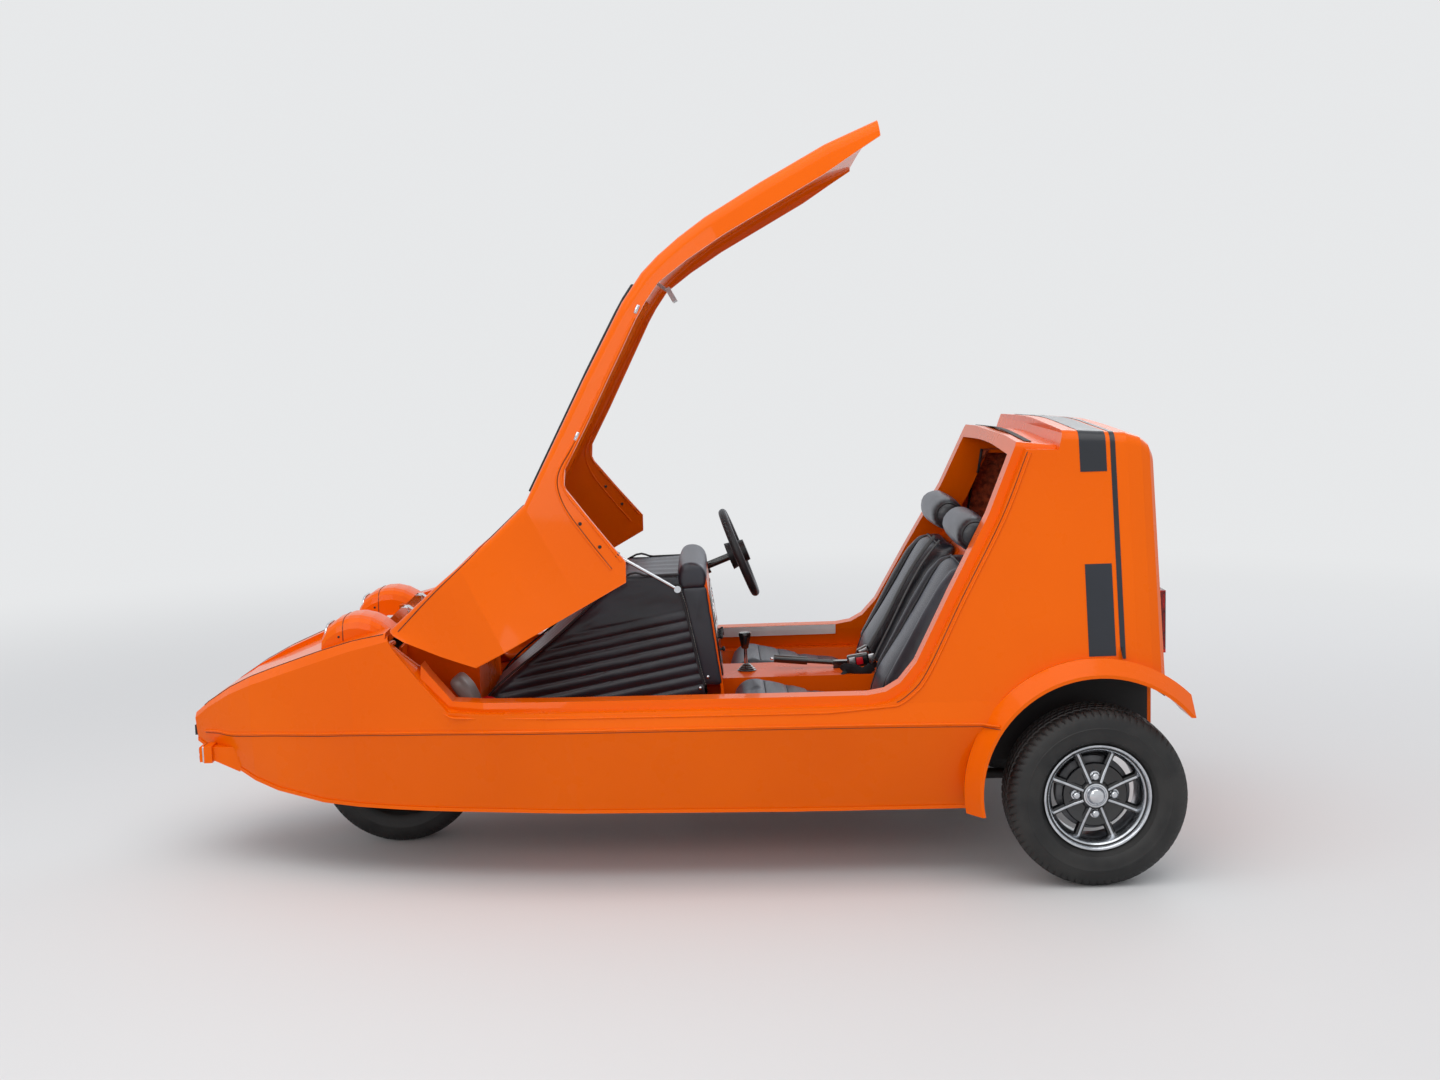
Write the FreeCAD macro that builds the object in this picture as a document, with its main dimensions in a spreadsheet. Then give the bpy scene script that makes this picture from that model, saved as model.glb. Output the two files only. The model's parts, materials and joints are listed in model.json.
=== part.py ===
# Three wheeled car with a lift-up canopy, one wheel in front and two behind.
# Frame: +X forward, +Y to the car's left, +Z up, origin on the floor at the middle of the car.
# All sizes are in millimetres.
import FreeCAD, Part
import Sketcher
import math
import os

Vector = FreeCAD.Vector
Rotation = FreeCAD.Rotation
Placement = FreeCAD.Placement

doc = FreeCAD.newDocument("ThreeWheeledCar")

# ---------------------------------------------------------------- driving dimensions

SIZES = [
    # alias, value, what it is
    ("overall_length", 2794, "nose to tail"),
    ("overall_width", 1397, "across the rear arch flares"),
    ("closed_height", 1212, "floor to the roof over the rear wheels, at its middle"),
    ("wheelbase", 1955, "front hub to rear axle"),
    ("rear_overhang", 250, "rear axle to the tail"),
    ("skin", 10, "thickness of the moulded body skin"),
    ("canopy_skin", 16, "thickness of the canopy moulding"),
    ("shut_gap", 6, "gap between the canopy or lid and the body"),
    ("sill_step", 32, "how far the seal flange stands in from the outer skin"),
    ("flange_rise", 24, "how far the seal flange stands past the outer skin's edge"),
    ("canopy_angle", 29, "angle the parked canopy stands open"),
    ("hinge_back", 53, "front hub to the canopy pivot, rearward"),
    ("hinge_height", 715, "floor to the canopy pivot"),
    ("tyre_radius", 241, "floor to hub"),
    ("tyre_width", 158, "widest part of the tyre"),
    ("rim_radius", 142, "edge of the wheel rim"),
    ("rim_width", 112, "across the rim flanges"),
    ("stud_circle", 101.6, "pitch circle of the wheel studs"),
    ("spindle_radius", 17, "wheel spindle"),
    ("hub_length", 74, "hub of each wheel"),
    ("rear_track", 1216, "between the rear wheels' middle planes"),
    ("arch_lip_radius", 308, "radius of the arch lip"),
    ("axle_radius", 30, "rear axle tube"),
    ("rail_width", 42, "chassis rail, across"),
    ("rail_height", 44, "chassis rail, upright"),
    ("rail_spread", 440, "between the chassis rails' middle planes"),
    ("floor_height", 250, "ground to the underside of the cabin floor"),
    ("floor_skin", 8, "thickness of the cabin floor and inner walls"),
    ("seat_width", 400, "one seat, across"),
    ("seat_spread", 530, "between the seats' middle planes"),
    ("cushion_thickness", 95, "seat cushions"),
    ("cover_half_width", 222, "engine cover, half width"),
    ("steering_wheel_radius", 150, "steering wheel rim"),
    ("steering_rake", 21, "steering column, degrees above level"),
    ("driver_side", -330, "steering wheel's place across the car"),
    ("glass", 5, "thickness of the window glass"),
    ("strut_rod_radius", 5, "canopy strut rod"),
    ("strut_tube_radius", 11, "canopy strut cylinder"),
]

sheet = doc.addObject("Spreadsheet::Sheet", "Sizes")
for row, (alias, value, note) in enumerate(SIZES, start=1):
    sheet.set("A%d" % row, alias)
    sheet.set("B%d" % row, str(value))
    sheet.setAlias("B%d" % row, alias)
    sheet.set("C%d" % row, note)
doc.recompute()


def size(alias):
    """Value of one named cell of the sheet."""
    return float(getattr(sheet, alias))


# The body's sections are drawn at these sizes and follow the sheet from there.
DRAWN_LENGTH = 2794.0
DRAWN_WIDTH = 1397.0
DRAWN_HEIGHT = 1212.0
DRAWN_FLOOR = 250.0


def along(x):
    """Place along the car that follows its overall length."""
    return x * size("overall_length") / DRAWN_LENGTH


def across(y):
    """Place across the car that follows its overall width."""
    return y * size("overall_width") / DRAWN_WIDTH


def up(z):
    """Height that follows the roof height."""
    return z * size("closed_height") / DRAWN_HEIGHT


def over_floor(z):
    """Height of what stands on the cabin floor, which follows the floor and the roof."""
    return size("floor_height") + up(z - DRAWN_FLOOR)


REAR_AXLE_X = -size("overall_length") / 2 + size("rear_overhang")
FRONT_AXLE_X = REAR_AXLE_X + size("wheelbase")
HINGE = Vector(FRONT_AXLE_X - size("hinge_back"), 0, size("hinge_height"))
OPEN_TURN = Rotation(Vector(0, 1, 0), size("canopy_angle"))
OPEN_PLACEMENT = Placement(Vector(0, 0, 0), OPEN_TURN, HINGE)

NODES = []


# ---------------------------------------------------------------- small helpers


def keep(node, label):
    """Give an object its label and list it for export."""
    node.Label = label
    NODES.append(node)
    return node


def feature(label, shape, placement=None):
    """A document object with a shape made by Part's own functions."""
    node = doc.addObject("Part::Feature", label)
    node.Shape = shape
    if placement is not None:
        node.Placement = placement
    return keep(node, label)


def side_plate(profile, y_low, y_high):
    """Solid with an outline of (x, z) points, from y_low to y_high."""
    points = [Vector(x, y_low, z) for x, z in profile]
    face = Part.Face(Part.makePolygon(points + points[:1]))
    return face.extrude(Vector(0, y_high - y_low, 0))


def plan_plate(profile, z_low, z_high):
    """Solid with an outline of (x, y) points, from z_low to z_high."""
    points = [Vector(x, y, z_low) for x, y in profile]
    face = Part.Face(Part.makePolygon(points + points[:1]))
    return face.extrude(Vector(0, 0, z_high - z_low))


def block(x_low, x_high, y_low, y_high, z_low, z_high):
    """Box between two corners."""
    corner = Vector(x_low, y_low, z_low)
    return Part.makeBox(x_high - x_low, y_high - y_low, z_high - z_low, corner)


def tube(start, end, radius):
    """Round bar between two points."""
    way = end - start
    return Part.makeCylinder(radius, way.Length, start, way)


def mirrored(shape):
    """The same shape on the other side of the car."""
    return shape.mirror(Vector(0, 0, 0), Vector(0, 1, 0))


def both_sides(shape):
    """The shape and its mirror image, as one compound."""
    return Part.makeCompound([shape, mirrored(shape)])


def rounded_wire(points):
    """Closed wire through (vector, radius) corners, each corner with its own round."""
    edges = []
    ends = []
    count = len(points)
    for i in range(count):
        corner, radius = points[i]
        before = points[i - 1][0]
        after = points[(i + 1) % count][0]
        if radius <= 0:
            ends.append((corner, None, corner))
            continue
        inward = (before - corner).normalize()
        onward = (after - corner).normalize()
        half = inward.getAngle(onward) / 2
        reach = radius / math.tan(half)
        middle = (inward + onward).normalize()
        centre = corner + middle * (radius / math.sin(half))
        nearest = centre - middle * radius
        ends.append((corner + inward * reach, nearest, corner + onward * reach))
    for i in range(count):
        start, middle, end = ends[i]
        if middle is not None:
            edges.append(Part.Arc(start, middle, end).toShape())
        edges.append(Part.LineSegment(end, ends[(i + 1) % count][0]).toShape())
    return Part.Wire(edges)


# ---------------------------------------------------------------- the closed body form

# One row per section of the closed car, nose first. Columns: x; half width and height of the
# bottom edge, the swage, the belt and the roof edge; height of the crown; radius of the roof edge.
STATIONS = [
    (1377, 146, 352, 156, 385, 165, 420, 152, 434, 437, 6),
    (1330, 174, 326, 190, 383, 197, 456, 181, 471, 474, 8),
    (1256, 214, 288, 239, 382, 243, 501, 217, 519, 522, 10),
    (1185, 264, 258, 283, 389, 284, 533, 257, 555, 558, 11),
    (1110, 306, 237, 322, 397, 320, 561, 292, 585, 588, 11),
    (966, 372, 216, 395, 409, 383, 613, 363, 640, 643, 12),
    (860, 410, 211, 448, 420, 426, 650, 403, 674, 676, 13),
    (745, 442, 209, 494, 428, 468, 682, 440, 704, 706, 14),
    (656, 462, 208, 529, 435, 519, 577, 466, 724, 727, 16),
    (578, 478, 208, 557, 440, 562, 510, 489, 742, 745, 18),
    (482, 495, 208, 590, 445, 598, 507, 516, 760, 763, 20),
    (361, 513, 207, 609, 447, 607, 507, 538, 784, 788, 22),
    (240, 528, 206, 625, 449, 613, 507, 556, 814, 820, 24),
    (-60, 543, 204, 640, 450, 623, 507, 531, 1015, 1026, 30),
    (-255, 552, 203, 648, 450, 629, 507, 513, 1140, 1153, 34),
    (-340, 556, 202, 651, 450, 632, 507, 505, 1182, 1196, 36),
    (-400, 556, 202, 652, 449.5, 633, 507, 504, 1199, 1214, 36),
    (-470, 557, 201, 653, 449, 634, 507, 503, 1212, 1227, 36),
    (-560, 558, 201, 655, 448, 636, 507, 502, 1222, 1238, 36),
    (-732, 560, 200, 658, 446, 640, 507, 500, 1226, 1242, 36),
    (-929, 560, 199, 659, 443, 643, 507, 499, 1224, 1240, 36),
    (-1078, 560, 199, 660, 441, 645, 507, 498, 1208, 1224, 36),
    (-1262, 558, 245, 656, 441, 643, 507, 495, 1196, 1211, 36),
    (-1302, 556, 254, 650, 441, 637, 507, 490, 1183, 1198, 36),
    (-1327, 550, 258, 641, 441, 627, 507, 482, 1163, 1178, 36),
    (-1340, 536, 262, 622, 441, 608, 507, 466, 1140, 1155, 36),
]


CROWN_ROUND = 5000


def body_form(inset=0.0, top_inset=None, ends=0.0):
    """The closed car as one solid, with its skin moved in by inset and its ends by ends."""
    top_inset = inset if top_inset is None else top_inset
    wires = []
    for row, station in enumerate(STATIONS):
        x, y_bottom, z_bottom, y_swage, z_swage, y_belt, z_belt, y_edge, z_edge, z_crown, edge_round = station
        place = along(x)
        if row == 0:
            place -= ends
        if row == len(STATIONS) - 1:
            place += ends
        half = [
            (across(y_bottom) - inset, up(z_bottom), 0),
            (across(y_swage) - inset, up(z_swage), 0),
            (across(y_belt) - inset, up(z_belt), 0),
            (across(y_edge) - inset, up(z_edge) - top_inset, max(edge_round - inset / 2, 4)),
        ]
        right = [(Vector(place, y, z), r) for y, z, r in half]
        left = [(Vector(place, -y, z), r) for y, z, r in reversed(half)]
        crown = [(Vector(place, 0, up(z_crown) - top_inset), CROWN_ROUND)]
        wires.append(rounded_wire(right + crown + left))
    return Part.makeLoft(wires, True, True)


def below_swage():
    """Everything under the swage line."""
    wires = []
    for station in [(1500,) + STATIONS[0][1:]] + STATIONS + [(-1500,) + STATIONS[-1][1:]]:
        place = along(station[0])
        top = up(station[4])
        wide = across(900)
        corners = [(-wide, -200), (wide, -200), (wide, top), (-wide, top)]
        points = [Vector(place, y, z) for y, z in corners]
        wires.append(Part.makePolygon(points + points[:1]))
    return Part.makeLoft(wires, True, True)


def above_bonnet_joint():
    """Everything over the joint line between the flanks and the nose deck, lower in the middle."""
    wires = []
    wide = across(900)
    top = up(1500)
    # columns: x, height of the joint line, half width of the lowered middle
    for x, z_joint, y_middle in [(1500, 372, 90), (1377, 424, 110), (1256, 505, 172), (966, 617, 320),
                                 (745, 689, 396), (700, 700, 400)]:
        low = up(z_joint)
        half = across(y_middle)
        corners = [(-wide, low), (-half, low), (-half, low - 36), (half, low - 36), (half, low), (wide, low),
                   (wide, top), (-wide, top)]
        points = [Vector(along(x), y, z) for y, z in corners]
        wires.append(Part.makePolygon(points + points[:1]))
    return Part.makeLoft(wires, True, True)


# Outline of the shut canopy seen from the side, from its hinge edge down, back and up.
CANOPY_OUTLINE = [
    (752, 697), (726, 659), (652, 578), (575, 505), (105, 505), (79, 551), (103, 682), (122, 800),
    (97, 839), (-15, 912), (-267, 1084), (-309, 1109), (-367, 1137), (-464, 1150), (-582, 1157),
    (-885, 1157), (-988, 1164), (-1063, 1168), (-1084, 1222),
]
# Edge of the body's outer skin round the opening that the canopy shuts, front to back.
APERTURE_OUTLINE = [
    (758, 697), (731, 655), (656, 574), (578, 499), (-551, 499), (-604, 508), (-650, 534), (-699, 590),
    (-796, 771), (-911, 977), (-991, 1159), (-1078, 1156), (-1090, 1200),
]
ABOVE = 1500


def outline_prism(outline, half_width):
    """The region inside an opening's outline and above it, right across the car."""
    points = [(along(x), up(z)) for x, z in outline]
    points = [(points[0][0], ABOVE)] + points + [(points[-1][0], ABOVE)]
    return side_plate(points, -half_width, half_width)


def offset_outline(outline, distance):
    """An opening's outline moved into the opening, square to its own runs."""
    moved = []
    for i, (x, z) in enumerate(outline):
        before = outline[max(i - 1, 0)]
        after = outline[min(i + 1, len(outline) - 1)]
        first = Vector(x - before[0], 0, z - before[1])
        second = Vector(after[0] - x, 0, after[1] - z)
        ways = [way.normalize() for way in (first, second) if way.Length > 0]
        way = (ways[0] + ways[-1]).normalize()
        reach = distance / math.cos(ways[0].getAngle(ways[-1]) / 2)
        moved.append((x + way.z * reach, z - way.x * reach))
    return moved


# ---------------------------------------------------------------- wheel arches

ARCH_CENTRE = Vector(REAR_AXLE_X, 0, size("tyre_radius") + 21)
ARCH_INNER_Y = across(452)
FLARE_Y = size("overall_width") / 2
FLARE_CREASE = size("arch_lip_radius") + 44


def arch_hollow(radius, y_inner):
    """The round space over a rear wheel, on the left side."""
    start = Vector(ARCH_CENTRE.x, y_inner, ARCH_CENTRE.z)
    return Part.makeCylinder(radius, across(900) - y_inner, start, Vector(0, 1, 0))


def arch_flare():
    """Raised eyebrow round the left rear wheel."""
    lip = size("arch_lip_radius")
    root = across(585)
    crease = (FLARE_CREASE, across(648))
    profile = [(lip, root), (lip, FLARE_Y), (lip + 9, FLARE_Y), crease, (FLARE_CREASE - 8, root)]
    points = [Vector(ARCH_CENTRE.x, y, ARCH_CENTRE.z + r) for r, y in profile]
    ring = Part.Face(Part.makePolygon(points + points[:1])).revolve(ARCH_CENTRE, Vector(0, 1, 0), 360)
    tail = -size("overall_length") / 2
    front = block(REAR_AXLE_X, REAR_AXLE_X + 500, 0, across(900), up(206), up(900))
    back = block(tail, REAR_AXLE_X, 0, across(900), up(458), up(900))
    return ring.common(front.fuse(back))


def both_arches(radius, y_inner):
    """Wheel spaces on both sides."""
    left = arch_hollow(radius, y_inner)
    return left.fuse(mirrored(left))


# ---------------------------------------------------------------- hull and upper body

WIDE = across(900)
SKIN = size("skin")
RIM_DEPTH = 90
RIM_WIDTH = 70
REAR_FACE_X = along(-1340)
# Half width, low edge and high edge of the rear window and of the boot opening.
WINDOW = (350, 940, 1120)
LID = (330, 610, 860)
outer = body_form()
hollow = body_form(SKIN, ends=SKIN)
canopy_region = outline_prism(CANOPY_OUTLINE, WIDE)
aperture = outline_prism(APERTURE_OUTLINE, WIDE)
arches = both_arches(size("arch_lip_radius"), ARCH_INNER_Y)


def edge_strip(column_y, column_z, out, back, low, high):
    """Square strip along one edge of the body on the left side, from section to section."""
    wires = []
    for station in STATIONS:
        y = across(station[column_y])
        z = up(station[column_z])
        corners = [(y - back, z + low), (y + out, z + low), (y + out, z + high), (y - back, z + high)]
        points = [Vector(along(station[0]), cy, cz) for cy, cz in corners]
        wires.append(Part.makePolygon(points + points[:1]))
    return Part.makeLoft(wires, True, True)


def lower_hull():
    """Tucked-in hull under the swage: open below, with a rolled edge."""
    skirt = outer.common(below_swage())
    mouth = []
    for station in STATIONS[1:-1] + [(-1340 + SKIN,) + STATIONS[-1][1:]]:
        y = across(station[1]) - SKIN
        z = up(station[2])
        corners = [(-y, z - 90), (y, z - 90), (y, z + 30), (-y, z + 30)]
        points = [Vector(along(station[0]), cy, cz) for cy, cz in corners]
        mouth.append(Part.makePolygon(points + points[:1]))
    skirt = skirt.cut(hollow).cut(Part.makeLoft(mouth, True, True))
    lip = edge_strip(1, 2, 5, SKIN + 8, -3, 7)
    skirt = skirt.fuse([lip, mirrored(lip)])
    flare = arch_flare()
    return skirt.cut(arches).cut(flare).cut(mirrored(flare))


def upper_body():
    """Flanks, sills, opening flange and rear deck in one moulding."""
    small = outline_prism(offset_outline(APERTURE_OUTLINE, size("flange_rise")), WIDE)
    band = outline_prism(offset_outline(APERTURE_OUTLINE, -RIM_WIDTH), WIDE)
    step = size("sill_step")
    core = body_form(RIM_DEPTH, top_inset=80)
    behind = body_form(SKIN / 2).cut(aperture)
    stepped = body_form(step, top_inset=size("canopy_skin") + 26).cut(small)
    rim = behind.fuse(stepped).common(band).cut(core)
    rim = rim.cut(block(along(660), along(1500), -WIDE, WIDE, 0, ABOVE))
    shell = outer.cut(hollow).cut(aperture)
    body = shell.fuse(rim).cut(below_swage())
    nose = block(HINGE.x, along(1500), -WIDE, WIDE, 0, ABOVE).common(above_bonnet_joint())
    body = body.cut(nose)
    flare = arch_flare()
    body = body.cut(arches).fuse([flare, mirrored(flare)])
    body = body.cut(both_arches(size("arch_lip_radius"), ARCH_INNER_Y))
    for half, low, high in (WINDOW, LID):
        body = body.cut(block(REAR_FACE_X - 1, REAR_FACE_X + SKIN + 60, -across(half), across(half),
                              up(low), up(high)))
    return body


# Hollow along the nose deck. Columns: x; half width; depth under the crown.
DECK_HOLLOW = [(1335, 92, 0), (1256, 150, 6), (966, 300, 18), (745, 372, 20), (482, 440, 20), (262, 478, 14)]


def trough():
    """Shallow channel along the top of the nose deck and the canopy's cowl."""
    wires = []
    for x, y, depth in DECK_HOLLOW:
        crown = up(crown_height(x))
        half = across(y)
        corners = [(-half, crown + 60), (8 - half, crown - depth),
                   (half - 8, crown - depth), (half, crown + 60)]
        points = [Vector(along(x), cy, cz) for cy, cz in corners]
        wires.append(Part.makePolygon(points + points[:1]))
    return Part.makeLoft(wires, True, True)


def crown_height(x):
    """Height of the roof or deck on the centre line, between the sections."""
    for front, back in zip(STATIONS, STATIONS[1:]):
        if back[0] <= x <= front[0]:
            share = (front[0] - x) / (front[0] - back[0])
            return front[9] + share * (back[9] - front[9])
    raise ValueError("outside the car")


DECK_INSET = 34


def nose_deck():
    """Top moulding of the nose, in front of the canopy's hinge edge."""
    region = above_bonnet_joint().common(block(along(758), along(1500), -WIDE, WIDE, 0, ABOVE))
    deck = outer.common(region)
    deck = deck.cut(body_form(SKIN, top_inset=DECK_INSET, ends=SKIN))
    return deck.cut(trough())


WINDSCREEN_PLAN = [(208, -503), (208, 503), (-300, 452), (-300, -452)]


def scaled_plan(plan, grow):
    """A plan outline in the car's own width and length, grown or shrunk a little all round."""
    moved = []
    for x, y in plan:
        outward = 1 if x > plan[-1][0] else -1
        sideways = 1 if y > 0 else -1
        moved.append((along(x) + outward * grow, across(y) + sideways * grow))
    return moved


def canopy_shell():
    """Cowl, side panels, screen pillars and roof in one moulding."""
    shell = outer.common(canopy_region)
    shell = shell.cut(body_form(size("canopy_skin"), top_inset=DECK_INSET))
    opening = plan_plate(scaled_plan(WINDSCREEN_PLAN, 0), 0, ABOVE)
    return shell.cut(opening).cut(trough())


def windscreen():
    """Flat-sided screen that fills its opening just below the pillars' face."""
    pane = body_form(0, top_inset=8).cut(body_form(-1, top_inset=8 + size("glass")))
    return pane.common(plan_plate(scaled_plan(WINDSCREEN_PLAN, -0.4), up(700), ABOVE)).common(canopy_region)


hull_solid = lower_hull()
feature("lower_hull", hull_solid)
body_solid = upper_body()
feature("upper_body", body_solid)
deck_solid = nose_deck()
canopy_solid = canopy_shell()
feature("nose_deck", deck_solid)
feature("canopy_shell", canopy_solid, OPEN_PLACEMENT)
feature("windscreen", windscreen(), OPEN_PLACEMENT)


# ---------------------------------------------------------------- cabin

FLOOR = size("floor_height")
WALL = size("floor_skin")
TUNNEL_TOP = over_floor(482)
PLATFORM_TOP = FLOOR + 90
# The moulded tub inside the hull. Columns: x; half width at the floor; half width at the sill.
TUB_STATIONS = [(742, 352, 382), (482, 450, 495), (240, 475, 520), (-353, 487, 535), (-640, 487, 535)]
HOUSING_HALF = 235
HOUSING_BACK = HINGE.x - 215
DASH_FOOT_X = along(-158)
SEAT_FRONT_X = along(-190)
# Side view of the rear bulkhead over its foot, back face up and front face down. Columns: x, z.
BULKHEAD = [(-652, 330), (-911, 841), (-903, 845), (-640, 332)]


def swage_at(x):
    """Half width and height of the swage between the sections."""
    for front, back in zip(STATIONS, STATIONS[1:]):
        if back[0] <= x <= front[0]:
            share = (front[0] - x) / (front[0] - back[0])
            return front[3] + share * (back[3] - front[3]), front[4] + share * (back[4] - front[4])
    raise ValueError("outside the car")


def tub_loft(thin, top):
    """The tub's trough shape, drawn in by thin and closed at its flange's height plus top."""
    wires = []
    for x, y_floor, y_sill in TUB_STATIONS:
        y_swage, z_swage = swage_at(x)
        z_top = up(z_swage) - 0.3
        low = FLOOR + thin
        if thin:
            corners = [(across(y_floor) - thin, low), (across(y_sill) - thin, z_top + top)]
        else:
            edge = across(y_swage) - SKIN - 6
            corners = [(across(y_floor), low), (across(y_sill), z_top - WALL),
                       (edge, z_top - WALL), (edge, z_top)]
        right = [Vector(along(x), y, z) for y, z in corners]
        left = [Vector(along(x), -y, z) for y, z in reversed(corners)]
        wires.append(Part.makePolygon(right + left + right[:1]))
    return Part.makeLoft(wires, True, True)


def floor_tub():
    """Moulded floor with sill walls, wheel housing, tunnel, seat platforms and rear bulkhead."""
    tub = tub_loft(0, 0).cut(tub_loft(WALL, 5))
    front = along(742)
    housing_top = up(628)
    space = block(HOUSING_BACK, front + 1, -HOUSING_HALF, HOUSING_HALF, 0, housing_top)
    case_half = HOUSING_HALF + WALL
    case = block(HOUSING_BACK - WALL, front, -case_half, case_half, FLOOR, housing_top + WALL)
    tunnel_half = across(112)
    inner_half = tunnel_half - WALL
    back = along(-645)
    tunnel = block(along(-760), DASH_FOOT_X + 40, -tunnel_half, tunnel_half, FLOOR, TUNNEL_TOP)
    tunnel_space = block(along(-900), DASH_FOOT_X + 50, -inner_half, inner_half, 0, TUNNEL_TOP - WALL)
    behind = BULKHEAD[:2] + [(-1200, BULKHEAD[1][1]), (-1200, 0), (BULKHEAD[0][0], 0)]
    tunnel = tunnel.cut(side_plate([(along(x), up(z)) for x, z in behind], -WIDE, WIDE))
    seat_half = across(486)
    platform = block(back, SEAT_FRONT_X, -seat_half, seat_half, FLOOR, PLATFORM_TOP)
    platform_space = block(back, SEAT_FRONT_X - WALL, WALL - seat_half, seat_half - WALL,
                           FLOOR + WALL, PLATFORM_TOP - WALL)
    toe_half = across(372)
    toe_top = across(330)
    toe = block(front - WALL, front, -toe_half, toe_half, FLOOR, up(425))
    toe = toe.fuse(block(front - WALL, front, -toe_top, toe_top, FLOOR, up(640)))
    foot = [(along(-640), FLOOR), (along(-652), FLOOR)]
    bulkhead = side_plate(foot + [(along(x), up(z)) for x, z in BULKHEAD], -across(530), across(530))
    bulkhead = bulkhead.common(body_form(SKIN + 4)).cut(body_solid)
    cover = size("cover_half_width")
    knee = TUNNEL_TOP - 8
    tower = [(along(-116), up(800)), (along(-124), up(802)), (along(-166), knee),
             (along(-166), FLOOR + 8), (along(-150), FLOOR + 8), (along(-158), knee)]
    tower = side_plate(tower, -cover, cover)
    tub = tub.fuse([case, platform, toe])
    tub = tub.cut(platform_space.cut(tunnel)).fuse([tunnel, bulkhead, tower])
    engine_hole = block(DASH_FOOT_X + 30, along(495), -165, 165, 0, FLOOR + WALL + 1)
    return tub.cut(space).cut(tunnel_space).cut(engine_hole)


def engine_cover():
    """Quilted cover over the engine, between the footwells, open below."""
    half = size("cover_half_width")
    top = [(523, 459), (116, 808), (-50, 812), (-113, 466)]
    solid = side_plate([(along(523), FLOOR + WALL)] + [(along(x), up(z)) for x, z in top]
                       + [(along(-113), FLOOR + WALL)], -half, half)
    inside = [(523 - 14, 459 - 6), (112, 794), (-58, 797), (-122, 470)]
    hollow_space = side_plate([(along(509), FLOOR)] + [(along(x), up(z)) for x, z in inside]
                              + [(along(-122), FLOOR)], -half + 12, half - 12)
    return solid.cut(hollow_space)


def dash_panel():
    """Padded instrument binnacle across the back of the engine cover."""
    half = size("cover_half_width")
    hood = [(-123, 803), (-112, 834), (-80, 845), (-55, 836), (-50.5, 812)]
    foot = [(along(-110), TUNNEL_TOP + 2), (along(-164), TUNNEL_TOP + 2)]
    solid = side_plate(foot + [(along(x), up(z)) for x, z in hood], -half - 8, half + 8)
    knee = TUNNEL_TOP - 8
    tower = [(along(-115.7), up(800.3)), (along(-124.3), up(803)), (along(-167), knee),
             (along(-167), knee - 14), (along(-157.7), knee - 14), (along(-157.7), knee)]
    tower = side_plate(tower, -half - 0.3, half + 0.3)
    return solid.cut(tower)


def luggage_floor():
    """Carpeted floor over the rear axle."""
    plate = block(along(-1340) + SKIN + 2, along(-760), -WIDE, WIDE, up(600), up(612))
    ahead = [(-600, 260), (-652.4, 330), (-911.4, 841), (-700, 900)]
    bulkhead = side_plate([(along(x), up(z)) for x, z in ahead], -WIDE, WIDE)
    return plate.cut(bulkhead).common(body_form(SKIN + 0.4)).cut(body_solid)


def arch_liners():
    """Liner over each rear wheel, closed towards the middle of the car."""
    lip = size("arch_lip_radius")
    start = Vector(ARCH_CENTRE.x, ARCH_INNER_Y - 4, ARCH_CENTRE.z)
    drum = Part.makeCylinder(lip - 0.4, across(640) - start.y, start, Vector(0, 1, 0))
    space = Part.makeCylinder(lip - 4.4, across(700) - start.y, start + Vector(0, 4, 0), Vector(0, 1, 0))
    low = block(-3000, 3000, 0, WIDE, -500, up(300))
    side = drum.cut(space).cut(low).common(body_form(SKIN + 0.4)).cut(body_solid).cut(hull_solid)
    return both_sides(side)


feature("floor_tub", floor_tub())
feature("engine_cover", engine_cover())
feature("dash_panel", dash_panel())
feature("luggage_floor", luggage_floor())
feature("wheel_arch_liners", arch_liners())


# ---------------------------------------------------------------- seats

SEAT_Y = size("seat_spread") / 2
SEAT_HALF = size("seat_width") / 2


def bulkhead_front(z):
    """Place of the bulkhead's front face at a height given as drawn."""
    return along(-640 - (z - 332) * 245 / 477)


SLOPE = Vector(-245, 0, 477).normalize()
FORWARD = Vector(SLOPE.z, 0, -SLOPE.x)


def seat_foot():
    """Lower rear and lower front corners of a seat back, seen from the side."""
    height = PLATFORM_TOP + 12
    rear = Vector(bulkhead_front(height / up(1)) + 0.5, 0, height)
    return rear, rear + FORWARD * (size("cushion_thickness") - 30)


# Side view of a seat pad's front and top. Columns: x; height over the pad's underside.
SEAT_PAD = [(-216, 0), (-196, 20), (-196, 128), (-236, 150), (-440, 100)]


def seat_base(side):
    """Bench pad of one seat, low at the back, where it meets the foot of the seat back."""
    low = PLATFORM_TOP + 0.3
    back = seat_foot()[1].x
    points = [(along(x), low + z) for x, z in SEAT_PAD]
    points += [(back + 32, low + 92), (back - 8, low + 20), (back + 32, low)]
    inner = across(112) + 4
    edges = (side * inner, side * (SEAT_Y + SEAT_HALF))
    return side_plate(points, min(edges), max(edges))


def seat_top_line():
    """Front and rear ends of the seat back's narrow top edge, seen from the side."""
    high = Vector(bulkhead_front(835) + 0.5, 0, up(835))
    shoulder = high + FORWARD * (size("cushion_thickness") - 30) + SLOPE * 8
    return shoulder, high + FORWARD * 7 + SLOPE * 26


def seat_back(side):
    """Sloping back pad of one seat, resting on the rear bulkhead."""
    low, front = seat_foot()
    shoulder, crest = seat_top_line()
    corners = [low, front, front + FORWARD * 30 + SLOPE * 60,
               shoulder + FORWARD * 30 - SLOPE * 40, shoulder, crest, crest - SLOPE * 26 - FORWARD * 7]
    points = [(corner.x, corner.z) for corner in corners]
    pad = side_plate(points, side * SEAT_Y - SEAT_HALF, side * SEAT_Y + SEAT_HALF)
    tunnel_half = across(112) + 0.3
    return pad.cut(block(along(-900), along(-500), -tunnel_half, tunnel_half, 0, TUNNEL_TOP + 0.3))


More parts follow.
